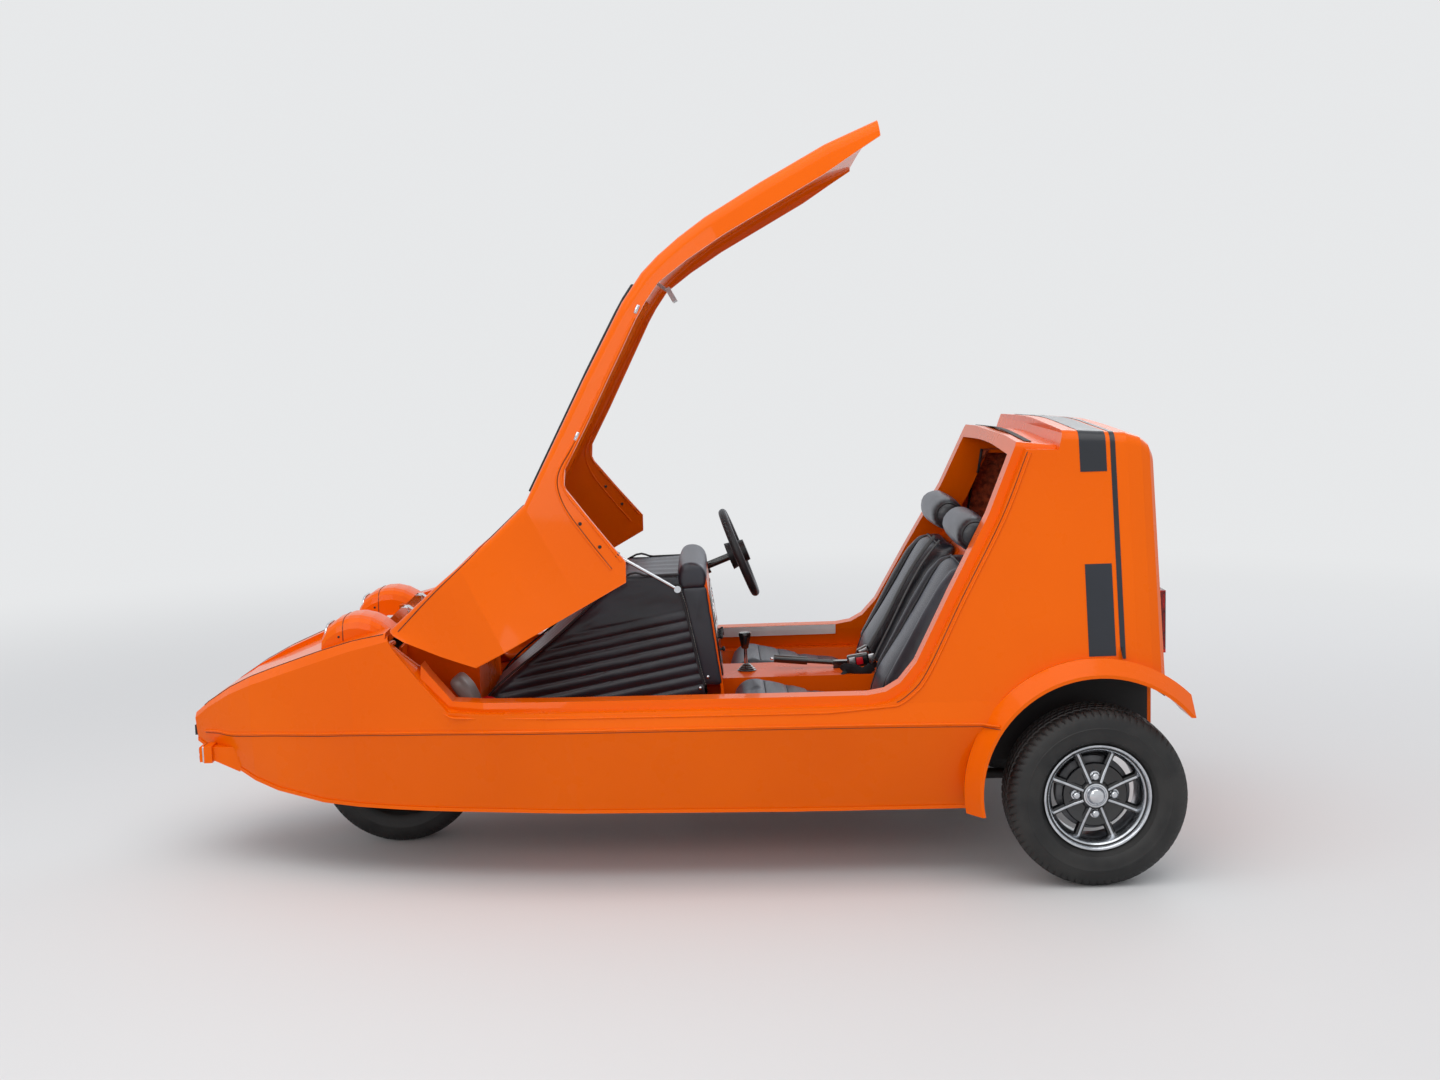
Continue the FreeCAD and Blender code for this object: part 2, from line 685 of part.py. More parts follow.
def headrest(side):
    """Round bolster on top of a seat back."""
    half = SEAT_HALF - 26
    radius = 54
    shoulder, crest = seat_top_line()
    back = (crest - shoulder).normalize()
    upward = Vector(back.z, 0, -back.x)
    centre = shoulder + back * 12 + upward * (radius + 0.3)
    start = Vector(centre.x, side * SEAT_Y - half, centre.z)
    return Part.makeCylinder(radius, 2 * half, start, Vector(0, 1, 0))


for name, side in (("left", 1), ("right", -1)):
    feature("seat_base_" + name, seat_base(side))
    feature("seat_back_" + name, seat_back(side))
    feature("headrest_" + name, headrest(side))


# ---------------------------------------------------------------- nose and lamps

POD_INNER = 180
POD_OUTER = 346
POD_SIDE_DROP = 34
POD_WALL = 9
# Side view of a cowl's upper line at its middle, from the mouth back. Columns: x, z.
POD_LINE = [(957, 680), (942, 704), (915, 722), (880, 733), (850, 734), (818, 726), (790, 711), (766, 690)]


def pod_form(inset):
    """One domed cowl on the left, from its mouth back, with its skin moved in by inset."""
    y_low = across(POD_INNER) + inset
    y_high = across(POD_OUTER) - inset
    wires = []
    for share in (0, 0.035, 0.11, 0.22, 0.36, 0.5, 0.64, 0.78, 0.89, 0.965, 1):
        lean = abs(2 * share - 1)
        drop = POD_SIDE_DROP * (1 - math.sqrt(1 - lean ** 4))
        y = y_low + (y_high - y_low) * share
        corners = [(POD_LINE[0][0] + (20 if inset else 0), 540)]
        mouth_x, mouth_z = POD_LINE[0]
        corners += [(mouth_x + (20 if inset else 0), mouth_z - drop - inset)]
        corners += [(x, z - drop - inset) for x, z in POD_LINE[1:]]
        corners.append((POD_LINE[-1][0] + 2, 540))
        points = [Vector(along(x), y, up(z)) for x, z in corners]
        wires.append(Part.makePolygon(points + points[:1]))
    return Part.makeLoft(wires, True, True)


def pod_deck():
    """The nose under the left cowl."""
    return outer.common(block(along(700), along(1000), 0, WIDE, 0, ABOVE)).cut(trough())


def headlamp_cowls():
    """Two domed fairings on the nose deck, each with a mouth for its lamp."""
    return both_sides(pod_form(0).cut(pod_form(POD_WALL)).cut(pod_deck()))


def headlamps():
    """Sealed lamps set back in the cowls' mouths."""
    lamp = pod_form(POD_WALL + 0.3).common(block(along(900), along(942), 0, WIDE, up(560), up(760)))
    return both_sides(lamp.cut(pod_deck()))


def front_lamps():
    """Side and turn lamps on stalks under the nose."""
    y_low = across(190)
    y_high = across(246)
    body = block(along(1312), along(1335), y_low, y_high, up(303), up(352))
    lens = block(along(1335), along(1348), y_low + 3, y_high - 3, up(306), up(349))
    arm = [(1312.3, 346), (1312.3, 308), (1238, 272), (1222, 300), (1250, 346)]
    arm = side_plate([(along(x), up(z)) for x, z in arm], across(172), across(232))
    return both_sides(body.fuse([lens, arm]).cut(body_form(-0.3)).cut(hull_solid))


feature("headlamp_cowls", headlamp_cowls())
feature("headlamps", headlamps())


# ---------------------------------------------------------------- objects bound to the sheet


def bind(node, **links):
    """Bind properties of an object to expressions of the sheet."""
    for name, expression in links.items():
        node.setExpression(name.replace("__", "."), expression)


AXLE_X = "-Sizes.overall_length / 2 + Sizes.rear_overhang"
FRONT_X = AXLE_X + " + Sizes.wheelbase"


def revolved_body(label, profile, place_x, place_y, side):
    """PartDesign body turned about the car's Y axis. Profile rows: place along the axis, radius."""
    body = doc.addObject("PartDesign::Body", label)
    sketch = body.newObject("Sketcher::SketchObject", label + "_profile")
    plane = [item for item in body.Origin.OriginFeatures if item.Role == "XY_Plane"][0]
    sketch.AttachmentSupport = [(plane, "")]
    sketch.MapMode = "FlatFace"
    count = len(profile)
    corners = []
    for reach, radius in profile:
        corners.append(Vector(float(sheet.evalExpression(reach)), float(sheet.evalExpression(radius)), 0))
    for i in range(count):
        sketch.addGeometry(Part.LineSegment(corners[i], corners[(i + 1) % count]), False)
    for i in range(count):
        sketch.addConstraint(Sketcher.Constraint("Coincident", i, 2, (i + 1) % count, 1))
    for i, (reach, radius) in enumerate(profile):
        across_rule = sketch.addConstraint(Sketcher.Constraint("DistanceX", -1, 1, i, 1, corners[i].x))
        radius_rule = sketch.addConstraint(Sketcher.Constraint("DistanceY", -1, 1, i, 1, corners[i].y))
        sketch.setExpression("Constraints[%d]" % across_rule, reach)
        sketch.setExpression("Constraints[%d]" % radius_rule, radius)
    turn = body.newObject("PartDesign::Revolution", label + "_turn")
    turn.Profile = sketch
    turn.ReferenceAxis = (sketch, ["H_Axis"])
    turn.Angle = 360
    body.Placement = Placement(Vector(0, 0, 0), Rotation(Vector(0, 0, 1), 90 * side))
    bind(body, Placement__Base__x=place_x, Placement__Base__y=place_y, Placement__Base__z="Sizes.tyre_radius")
    return body


# Outline of the tyre's section, outer side first.
TYRE_PROFILE = [
    ("Sizes.rim_width / 2 - 8.3", "Sizes.rim_radius - 12"),
    ("Sizes.rim_width / 2 - 8.3", "Sizes.rim_radius + 1.3"),
    ("Sizes.rim_width / 2 + 2", "Sizes.rim_radius + 6"),
    ("Sizes.tyre_width / 2 - 3", "(Sizes.rim_radius + Sizes.tyre_radius) / 2 - 22"),
    ("Sizes.tyre_width / 2", "(Sizes.rim_radius + Sizes.tyre_radius) / 2"),
    ("Sizes.tyre_width / 2 - 4", "(Sizes.rim_radius + Sizes.tyre_radius) / 2 + 22"),
    ("Sizes.tyre_width / 2 - 14", "Sizes.tyre_radius - 12"),
    ("Sizes.tyre_width / 2 - 22", "Sizes.tyre_radius - 4"),
    ("Sizes.tyre_width / 4", "Sizes.tyre_radius"),
    ("-Sizes.tyre_width / 4", "Sizes.tyre_radius"),
    ("-Sizes.tyre_width / 2 + 22", "Sizes.tyre_radius - 4"),
    ("-Sizes.tyre_width / 2 + 14", "Sizes.tyre_radius - 12"),
    ("-Sizes.tyre_width / 2 + 4", "(Sizes.rim_radius + Sizes.tyre_radius) / 2 + 22"),
    ("-Sizes.tyre_width / 2", "(Sizes.rim_radius + Sizes.tyre_radius) / 2"),
    ("-Sizes.tyre_width / 2 + 3", "(Sizes.rim_radius + Sizes.tyre_radius) / 2 - 22"),
    ("-Sizes.rim_width / 2 - 2", "Sizes.rim_radius + 6"),
    ("-Sizes.rim_width / 2 + 8.3", "Sizes.rim_radius + 1.3"),
    ("-Sizes.rim_width / 2 + 8.3", "Sizes.rim_radius - 12"),
]
# Outline of the steel wheel with its hub, outer side first, from the bore outward and back.
RIM_PROFILE = [
    ("Sizes.hub_length / 2", "Sizes.spindle_radius + 0.05"),
    ("Sizes.hub_length / 2", "Sizes.spindle_radius + 14"),
    ("12", "Sizes.spindle_radius + 20"),
    ("12", "Sizes.stud_circle / 2 + 14"),
    ("26", "Sizes.rim_radius - 46"),
    ("14", "Sizes.rim_radius - 26"),
    ("22", "Sizes.rim_radius - 17"),
    ("Sizes.rim_width / 2 - 9", "Sizes.rim_radius - 16"),
    ("Sizes.rim_width / 2 - 5", "Sizes.rim_radius - 2"),
    ("Sizes.rim_width / 2", "Sizes.rim_radius - 2"),
    ("Sizes.rim_width / 2", "Sizes.rim_radius + 1"),
    ("Sizes.rim_width / 2 - 8", "Sizes.rim_radius + 1"),
    ("Sizes.rim_width / 2 - 8.3", "Sizes.rim_radius - 12.3"),
    ("-Sizes.rim_width / 2 + 8.3", "Sizes.rim_radius - 12.3"),
    ("-Sizes.rim_width / 2 + 8", "Sizes.rim_radius + 1"),
    ("-Sizes.rim_width / 2", "Sizes.rim_radius + 1"),
    ("-Sizes.rim_width / 2", "Sizes.rim_radius - 2"),
    ("-Sizes.rim_width / 2 + 5", "Sizes.rim_radius - 2"),
    ("-Sizes.rim_width / 2 + 9", "Sizes.rim_radius - 16"),
    ("10", "Sizes.rim_radius - 20"),
    ("8", "Sizes.rim_radius - 28"),
    ("20", "Sizes.rim_radius - 47"),
    ("6", "Sizes.stud_circle / 2 + 12"),
    ("6", "Sizes.spindle_radius + 20"),
    ("-Sizes.hub_length / 2", "Sizes.spindle_radius + 14"),
    ("-Sizes.hub_length / 2", "Sizes.spindle_radius + 0.05"),
]
WHEELS = [
    # name, place along the car, place across, which way the wheel's face looks
    ("front", FRONT_X, "0", 1),
    ("rear_left", AXLE_X, "Sizes.rear_track / 2", 1),
    ("rear_right", AXLE_X, "-Sizes.rear_track / 2", -1),
]
for name, place_x, place_y, side in WHEELS:
    keep(revolved_body("tyre_" + name, TYRE_PROFILE, place_x, place_y, side), "tyre_" + name)
    keep(revolved_body("rim_" + name, RIM_PROFILE, place_x, place_y, side), "rim_" + name)


# ---------------------------------------------------------------- running gear

HUB_Z = size("tyre_radius")
RAIL_HALF = size("rail_width") / 2
RAIL_Y = size("rail_spread") / 2
FRONT_RAIL_Y = HOUSING_HALF + WALL + RAIL_HALF + 8
RAIL_TOP = FLOOR - 0.3
RAIL_LOW = RAIL_TOP - size("rail_height")
AXLE_RAIL_LOW = HUB_Z + 96
KINGPIN_RADIUS = 14


def rail_run(start, end):
    """Straight box rail between two points of its middle line at its underside."""
    wires = []
    for point in (start, end):
        high = size("rail_height")
        corners = [(-RAIL_HALF, 0), (RAIL_HALF, 0), (RAIL_HALF, high), (-RAIL_HALF, high)]
        points = [point + Vector(0, y, z) for y, z in corners]
        wires.append(Part.makePolygon(points + points[:1]))
    return Part.makeLoft(wires, True, True)


def chassis_frame():
    """Two rails with cross members, stepped up over the rear axle and wide round the front wheel."""
    wheel_back = FRONT_AXLE_X - 290
    route = [
        Vector(-size("overall_length") / 2 + 90, RAIL_Y, AXLE_RAIL_LOW),
        Vector(REAR_AXLE_X + 130, RAIL_Y, AXLE_RAIL_LOW),
        Vector(REAR_AXLE_X + 300, RAIL_Y, RAIL_LOW),
        Vector(wheel_back - 130, RAIL_Y, RAIL_LOW),
        Vector(wheel_back, FRONT_RAIL_Y, RAIL_LOW),
        Vector(FRONT_AXLE_X - 60, FRONT_RAIL_Y, RAIL_LOW),
        Vector(along(1150), across(250), up(300)),
    ]
    side = rail_run(route[0], route[1])
    for start, end in zip(route[1:], route[2:]):
        side = side.fuse(rail_run(start, end))
    members = []
    for x, half, low, high in [
        (route[0].x + 20, RAIL_Y, AXLE_RAIL_LOW + 4, AXLE_RAIL_LOW + 40),
        (REAR_AXLE_X + 330, RAIL_Y, RAIL_LOW + 20, RAIL_TOP - 9),
        (along(250), RAIL_Y, RAIL_LOW + 20, RAIL_TOP - 4),
        (along(-120), RAIL_Y, RAIL_LOW + 20, RAIL_TOP - 4),
        (along(1140), across(250), up(300) + 4, up(300) + 40),
    ]:
        members.append(block(x - 20, x + 20, -half, half, low, high))
    beam_low = HUB_Z + size("tyre_radius") + 92
    post = block(FRONT_AXLE_X - 30, FRONT_AXLE_X + 30, FRONT_RAIL_Y - 18, FRONT_RAIL_Y + 12,
                 RAIL_LOW + 20, beam_low + 34)
    beam = block(FRONT_AXLE_X - 30, FRONT_AXLE_X + 30, -FRONT_RAIL_Y, FRONT_RAIL_Y, beam_low, beam_low + 34)
    collar = Part.makeCylinder(30, 66, Vector(FRONT_AXLE_X, 0, beam_low - 24))
    bore = Part.makeCylinder(KINGPIN_RADIUS + 0.05, 300, Vector(FRONT_AXLE_X, 0, beam_low - 100))
    frame = side.fuse([mirrored(side), post, mirrored(post), beam, collar] + members)
    return frame.cut(bore)


def steering_fork():
    """King pin, yoke and one-sided leg that carry the front wheel's spindle."""
    pin_low = HUB_Z + size("tyre_radius") + 40
    beam_top = HUB_Z + size("tyre_radius") + 92 + 34
    leg_y = size("tyre_width") / 2 + 34
    pin = Part.makeCylinder(KINGPIN_RADIUS, beam_top - pin_low, Vector(FRONT_AXLE_X, 0, pin_low))
    yoke = block(FRONT_AXLE_X - 26, FRONT_AXLE_X + 26, -26, leg_y + 12, pin_low - 20, pin_low)
    leg = block(FRONT_AXLE_X - 22, FRONT_AXLE_X + 22, leg_y - 10, leg_y + 12, HUB_Z - 26, pin_low - 10)
    start = Vector(FRONT_AXLE_X, -size("hub_length") / 2 + 4, HUB_Z)
    spindle = Part.makeCylinder(size("spindle_radius"), leg_y - start.y, start, Vector(0, 1, 0))
    return pin.fuse([yoke, leg, spindle])


def rear_axle():
    """Live axle with its differential in the middle and a drum's backplate at each end."""
    half = size("rear_track") / 2
    radius = size("axle_radius")
    inner = half - size("hub_length") / 2 - 6
    middle = Part.makeCylinder(radius, 2 * inner, Vector(REAR_AXLE_X, -inner, HUB_Z), Vector(0, 1, 0))
    case = Part.makeSphere(82, Vector(REAR_AXLE_X, 0, HUB_Z))
    nose = tube(Vector(REAR_AXLE_X, 0, HUB_Z), Vector(REAR_AXLE_X + 150, 0, HUB_Z), 34)
    plate = Part.makeCylinder(98, 10, Vector(REAR_AXLE_X, inner - 10, HUB_Z), Vector(0, 1, 0))
    reach = half + size("hub_length") / 2 - 4
    start = Vector(REAR_AXLE_X, -reach, HUB_Z)
    spindle = Part.makeCylinder(size("spindle_radius"), 2 * reach, start, Vector(0, 1, 0))
    return middle.fuse([case, nose, plate, mirrored(plate), spindle])


ARM_Y = RAIL_Y + RAIL_HALF + 60


def trailing_arms():
    """Pressed arms from the rails back to the axle."""
    front = Vector(REAR_AXLE_X + 420, ARM_Y, RAIL_LOW + 18)
    back = Vector(REAR_AXLE_X + 20, ARM_Y, HUB_Z - 20)
    arm = tube(front, back, 15)
    bush = Part.makeCylinder(22, 44, front - Vector(0, 22, 0), Vector(0, 1, 0))
    pin = tube(front - Vector(0, ARM_Y - RAIL_Y - RAIL_HALF - 0.3, 0), front, 9)
    lug = block(REAR_AXLE_X + 16, REAR_AXLE_X + 48, ARM_Y - 16, ARM_Y + 16, HUB_Z - 40, HUB_Z + 16)
    axle = Part.makeCylinder(size("axle_radius") + 0.3, 2000, Vector(REAR_AXLE_X, 0, HUB_Z), Vector(0, 1, 0))
    arm = arm.fuse([bush, pin, lug]).cut(axle)
    return both_sides(arm)


def rear_springs():
    """Spring and damper units standing on the axle, with their brackets on the raised rails."""
    low = HUB_Z + size("axle_radius") + 0.3
    high = AXLE_RAIL_LOW + 130
    y = ARM_Y
    damper = Part.makeCylinder(17, high - low, Vector(REAR_AXLE_X, y, low))
    coil = Part.makeCylinder(36, high - low - 60, Vector(REAR_AXLE_X, y, low + 34))
    cup = Part.makeCylinder(42, 8, Vector(REAR_AXLE_X, y, high - 26))
    bracket = block(REAR_AXLE_X - 30, REAR_AXLE_X + 30, RAIL_Y + RAIL_HALF + 0.3, y + 12, high - 18, high)
    face = RAIL_Y + RAIL_HALF + 0.3
    web = block(REAR_AXLE_X - 30, REAR_AXLE_X + 30, face, face + 8, AXLE_RAIL_LOW, high)
    return both_sides(damper.fuse([coil, cup, bracket, web]))


def engine_block():
    """Engine and gearbox as one plain mass under the quilted cover."""
    low = RAIL_TOP - 3.7
    outline = [(-420, 0), (470, 0), (470, 190), (300, 330), (40, 330), (20, 200), (-420, 170)]
    return side_plate([(along(x), low + z) for x, z in outline], -88, 88).fuse(
        side_plate([(along(x), low + z) for x, z in outline[1:5] + [(40, 0)]], -148, 148))


feature("chassis_frame", chassis_frame())
feature("steering_fork", steering_fork())
feature("rear_axle", rear_axle())
feature("trailing_arms", trailing_arms())
feature("rear_springs", rear_springs())


feature("engine_block", engine_block())


def propshaft():
    """Shaft from the gearbox back to the axle."""
    front = Vector(along(-420) - 0.3, 0, RAIL_TOP + 70)
    rear = Vector(REAR_AXLE_X + 150.3, 0, HUB_Z)
    reach = Vector(36, 0, 0)
    shaft = tube(front - reach, rear + reach, 19)
    return shaft.fuse([tube(rear, rear + reach, 34), tube(front, front - reach, 34)])


def exhaust():
    """Pipe under the right-hand rail side, dipping under the axle to the tail."""
    radius = 15
    y = -130
    low = HUB_Z - size("axle_radius") - radius - 6
    level = RAIL_LOW + 3
    route = [
        Vector(along(180), y, RAIL_TOP - 4.2),
        Vector(along(180), y, level),
        Vector(REAR_AXLE_X + 200, y, level),
        Vector(REAR_AXLE_X + 60, y, low),
        Vector(-size("overall_length") / 2 + 10, y, low),
    ]
    spine = Part.makePolygon(route)
    ring = Part.Wire(Part.makeCircle(radius, route[0], route[1] - route[0]))
    pipe = spine.makePipeShell([ring], True, False, 1)
    silencer = tube(Vector(along(-300), y, level - 2), Vector(along(-620), y, level - 2), 20)
    return pipe.fuse(silencer)


def fuel_tank():
    """Flat tank under the luggage floor, behind the axle."""
    return block(-size("overall_length") / 2 + 82, REAR_AXLE_X - 55, -size("rail_spread") / 2 + 30,
                 size("rail_spread") / 2 - 30, AXLE_RAIL_LOW + 60, up(599.7))


def radiator():
    """Radiator across the nose, ahead of the wheel."""
    return block(along(1085), along(1119.7), -across(190), across(190), up(304), up(470))


def sill_plates():
    """Polished kick plates on the inner faces of the sills."""
    band = block(along(-545), along(-145), 0, WIDE, up(489), up(522))
    face = body_form(RIM_DEPTH + 0.3, top_inset=80).common(band)
    return both_sides(face.cut(body_form(RIM_DEPTH + 2.3, top_inset=80).common(band)))


def rear_lamps():
    """Tall lamp units on the back panel's corners."""
    lamp = block(along(-1340) - 22, along(-1340) - 0.3, across(452), across(522), up(600), up(770))
    return both_sides(lamp)


def nose_buffer():
    """Rubber block across the point of the nose."""
    return block(along(1377) + 0.3, size("overall_length") / 2, -across(110), across(110), up(357), up(386))


LID_PIVOT = Vector(REAR_FACE_X - 9, 0, up(LID[2]) - 2)


def rear_window():
    """Fixed pane in the back panel."""
    half, low, high = WINDOW
    edge = across(half) - 0.4
    start = REAR_FACE_X + 3
    return block(start, start + size("glass"), -edge, edge, up(low) + 0.4, up(high) - 0.4)


def boot_lid():
    """Panel hinged along its top edge."""
    half, low, high = LID
    gap = size("shut_gap")
    edge = across(half) - gap
    panel = block(REAR_FACE_X, REAR_FACE_X + SKIN, -edge, edge, up(low) + gap, up(high) - gap)
    for y in (-across(200), across(200)):
        leaf = block(REAR_FACE_X - 5, REAR_FACE_X, y - 20, y + 20, up(high) - 60, LID_PIVOT.z - 3)
        barrel = Part.makeCylinder(6, 40, Vector(LID_PIVOT.x, y - 20, LID_PIVOT.z), Vector(0, 1, 0))
        arm = block(LID_PIVOT.x - 4, REAR_FACE_X, y - 20, y + 20, LID_PIVOT.z - 12, LID_PIVOT.z - 3)
        bore = Part.makeCylinder(3.05, 60, Vector(LID_PIVOT.x, y - 30, LID_PIVOT.z), Vector(0, 1, 0))
        panel = panel.fuse([leaf, barrel, arm]).cut(bore)
    return panel


def boot_hinges():
    """Pins and brackets above the lid."""
    parts = []
    for y in (-across(200), across(200)):
        pin = Part.makeCylinder(3, 60, Vector(LID_PIVOT.x, y - 30, LID_PIVOT.z), Vector(0, 1, 0))
        left = block(LID_PIVOT.x - 5, REAR_FACE_X - 0.3, y + 21, y + 30, LID_PIVOT.z - 5, LID_PIVOT.z + 24)
        right = block(LID_PIVOT.x - 5, REAR_FACE_X - 0.3, y - 30, y - 21, LID_PIVOT.z - 5, LID_PIVOT.z + 24)
        plate = block(REAR_FACE_X - 5.3, REAR_FACE_X - 0.3, y - 30, y + 30,
                      LID_PIVOT.z + 10, LID_PIVOT.z + 30)
        parts.append(pin.fuse([left, right, plate]))
    return Part.makeCompound(parts)


def roof_seal():
    """Rubber strip on the header that the roof closes on."""
    band = block(along(-1020), along(-1000), -across(430), across(430), 0, ABOVE)
    step = size("canopy_skin") + 26
    strip = body_form(size("sill_step") + 4, top_inset=step - 2.7).cut(body_form(0, top_inset=step - 0.3))
    return strip.common(band)


feature("propshaft", propshaft())
feature("exhaust", exhaust())
feature("fuel_tank", fuel_tank())
feature("radiator", radiator())
feature("sill_plates", sill_plates())
feature("rear_lamps", rear_lamps())
feature("front_lamps", front_lamps())
feature("nose_buffer", nose_buffer())
feature("rear_window", rear_window())
feature("boot_lid", boot_lid())
feature("boot_hinges", boot_hinges())
feature("roof_seal", roof_seal())


# ---------------------------------------------------------------- controls

DRIVER_Y = across(size("driver_side"))
RAKE = math.radians(size("steering_rake"))
COLUMN = Vector(-math.cos(RAKE), 0, math.sin(RAKE))
COLUMN_END = Vector(along(-196), DRIVER_Y, up(786))


def steering_column():
    """Column tube with its bracket to the binnacle's side."""
    start = COLUMN_END - COLUMN * 560
    shaft = tube(start, COLUMN_END, 12)
    shroud = tube(COLUMN_END - COLUMN * 250, COLUMN_END - COLUMN * 70, 26)
    middle = COLUMN_END - COLUMN * 120
    inner = -size("cover_half_width") - 8.3
    bracket = block(middle.x - 16, middle.x + 16, DRIVER_Y, inner, middle.z - 8, middle.z + 8)
    return shaft.fuse([shroud, bracket])


def steering_wheel():
    """Rim, three spokes and padded boss, square to the column."""
    radius = size("steering_wheel_radius")
    rim = Part.makeTorus(radius - 14, 13, Vector(0, 0, 0), Vector(0, 0, 1))
    boss = Part.makeCone(44, 34, 60, Vector(0, 0, -34))
    spokes = []
    for turn in (90, 210, 330):
        spoke = block(0, radius - 16, -16, 16, -7, -1)
        spoke.rotate(Vector(0, 0, 0), Vector(0, 0, 1), turn)
        spokes.append(spoke)
    shape = rim.fuse([boss] + spokes)
    base = COLUMN_END + COLUMN * 34.3
    shape.Placement = Placement(base, Rotation(Vector(0, 0, 1), COLUMN))
    return shape


def gear_lever():
    """Lever with a round knob, standing on the tunnel."""
    foot = Vector(along(-238), 0, TUNNEL_TOP + 0.3)
    top = foot + Vector(4, 0, 96)
    stick = tube(foot, top, 5)
    knob = Part.makeSphere(19, top)
    boot = Part.makeCone(34, 10, 34, foot)
    return stick.fuse([knob, boot])


def handbrake():
    """Lever lying along the tunnel."""
    pivot = Vector(along(-520), 0, TUNNEL_TOP + 0.3)
    bracket = block(pivot.x - 22, pivot.x + 22, -12, 12, pivot.z, pivot.z + 22)
    arm = tube(pivot + Vector(0, 0, 14), pivot + Vector(110, 0, 24), 7)
    grip = tube(pivot + Vector(100, 0, 23), pivot + Vector(200, 0, 33), 12)
    return bracket.fuse([arm, grip])


def pedals():
    """Three hanging pedals in the driver's footwell."""
    parts = []
    housing = Vector(along(640), -HOUSING_HALF - WALL - 0.3, up(560))
    bar = tube(Vector(along(640), DRIVER_Y - 52, up(560)), housing, 7)
    arms = [bar]
    for y in (-48, 0, 44):
        top = Vector(along(640), DRIVER_Y + y, up(560))
        arms.append(tube(top, top + Vector(-70, 0, -210), 6))
        arms.append(block(top.x - 84, top.x - 64, top.y - 19, top.y + 19, top.z - 250, top.z - 190))
    return arms[0].fuse(arms[1:])


feature("steering_column", steering_column())
feature("steering_wheel", steering_wheel())
feature("gear_lever", gear_lever())
feature("handbrake", handbrake())
feature("pedals", pedals())


# ---------------------------------------------------------------- canopy fittings

HINGE_Y = across(120)
HINGE_PIN = 5
STRUT_Y = size("cover_half_width") + 8 + 16
STRUT_FOOT = Vector(along(-42), STRUT_Y, up(770))
STRUT_HEAD = Vector(along(252), STRUT_Y, up(761))


def canopy_hinges():
    """Knuckles on the front edge of the cowl, round the pivot."""
    parts = []
    for y in (-HINGE_Y, HINGE_Y):
        knuckle = Part.makeCylinder(11, 30, Vector(HINGE.x, y - 15, HINGE.z), Vector(0, 1, 0))
        low = HINGE.z - 27
        underside = [(-4, 30), (-9, 19), (-22, 6), (-56, -1)]
        upper = [(-56, 4), (-20, 13), (-10, 35)]
        corners = [(HINGE.x + x, low + z) for x, z in underside + upper]
        strap = side_plate(corners, y - 15, y + 15)
        bore = Part.makeCylinder(HINGE_PIN + 0.05, 60, Vector(HINGE.x, y - 30, HINGE.z), Vector(0, 1, 0))
        parts.append(knuckle.fuse(strap).cut(canopy_solid).cut(bore))
    return Part.makeCompound(parts)


def hinge_brackets():
    """Ears and pins on the nose deck that carry the canopy."""
    parts = []
    for y in (-HINGE_Y, HINGE_Y):
        pin = Part.makeCylinder(HINGE_PIN, 50, Vector(HINGE.x, y - 25, HINGE.z), Vector(0, 1, 0))
        ears = []
        for low in (y - 25, y + 17):
            corners = [(8, -45), (60, -45), (60, -36), (10, 10), (-8, 8), (-8, -6)]
            ears.append(side_plate([(HINGE.x + x, HINGE.z + z) for x, z in corners], low, low + 8))
        base = block(HINGE.x + 14, HINGE.x + 60, y - 25, y + 25, HINGE.z - 45, HINGE.z - 20)
        parts.append(pin.fuse(ears + [base]).cut(deck_solid))
    return Part.makeCompound(parts)


def turned_by_canopy(point):
    """Where a point of the shut canopy stands when the canopy is parked open."""
    return OPEN_PLACEMENT.multVec(point)


STRUT_TOP = turned_by_canopy(STRUT_HEAD)
STRUT_WAY = (STRUT_FOOT - STRUT_TOP).normalize()
STRUT_TUBE_LENGTH = 250


def strut_cylinder():
    """Upper tube of the canopy stay, pinned to the cowl's inside."""
    eye = Part.makeCylinder(11, 14, STRUT_TOP - Vector(0, 7, 0), Vector(0, 1, 0))
    mouth = STRUT_TOP + STRUT_WAY * STRUT_TUBE_LENGTH
    barrel = tube(STRUT_TOP + STRUT_WAY * 8, mouth, size("strut_tube_radius"))
    bore = tube(STRUT_TOP + STRUT_WAY * 20, mouth + STRUT_WAY * 20, size("strut_rod_radius") + 0.05)
    hole = Part.makeCylinder(5.05, 40, STRUT_TOP - Vector(0, 20, 0), Vector(0, 1, 0))
    return barrel.fuse(eye).cut(bore).cut(hole)


def strut_rod():
    """Lower rod of the stay, with its eye at the binnacle's side."""
    length = (STRUT_FOOT - STRUT_TOP).Length
    start = STRUT_TOP + STRUT_WAY * (STRUT_TUBE_LENGTH - 50)
    rod = tube(start, STRUT_TOP + STRUT_WAY * (length - 8), size("strut_rod_radius"))
    eye = Part.makeCylinder(10, 8, STRUT_FOOT - Vector(0, 4, 0), Vector(0, 1, 0))
    return rod.fuse(eye)


def strut_lug():
    """Pin and plate under the cowl that hold the stay's upper eye."""
    pin = Part.makeCylinder(5, 30, STRUT_HEAD - Vector(0, 20, 0), Vector(0, 1, 0))
    plate = block(STRUT_HEAD.x - 14, STRUT_HEAD.x + 14, STRUT_Y - 20, STRUT_Y - 12,
                  STRUT_HEAD.z - 12, STRUT_HEAD.z + 60)
    return pin.fuse(plate).common(body_form(0, top_inset=DECK_INSET + 0.3))


def strut_stud():
    """Ball stud on the binnacle's side for the stay's lower eye."""
    start = Vector(STRUT_FOOT.x, size("cover_half_width") + 8.3, STRUT_FOOT.z)
    plate = Part.makeCylinder(13, 4, start, Vector(0, 1, 0))
    pin = Part.makeCylinder(5, STRUT_Y - 4.3 - start.y, start, Vector(0, 1, 0))
    return plate.fuse(pin)


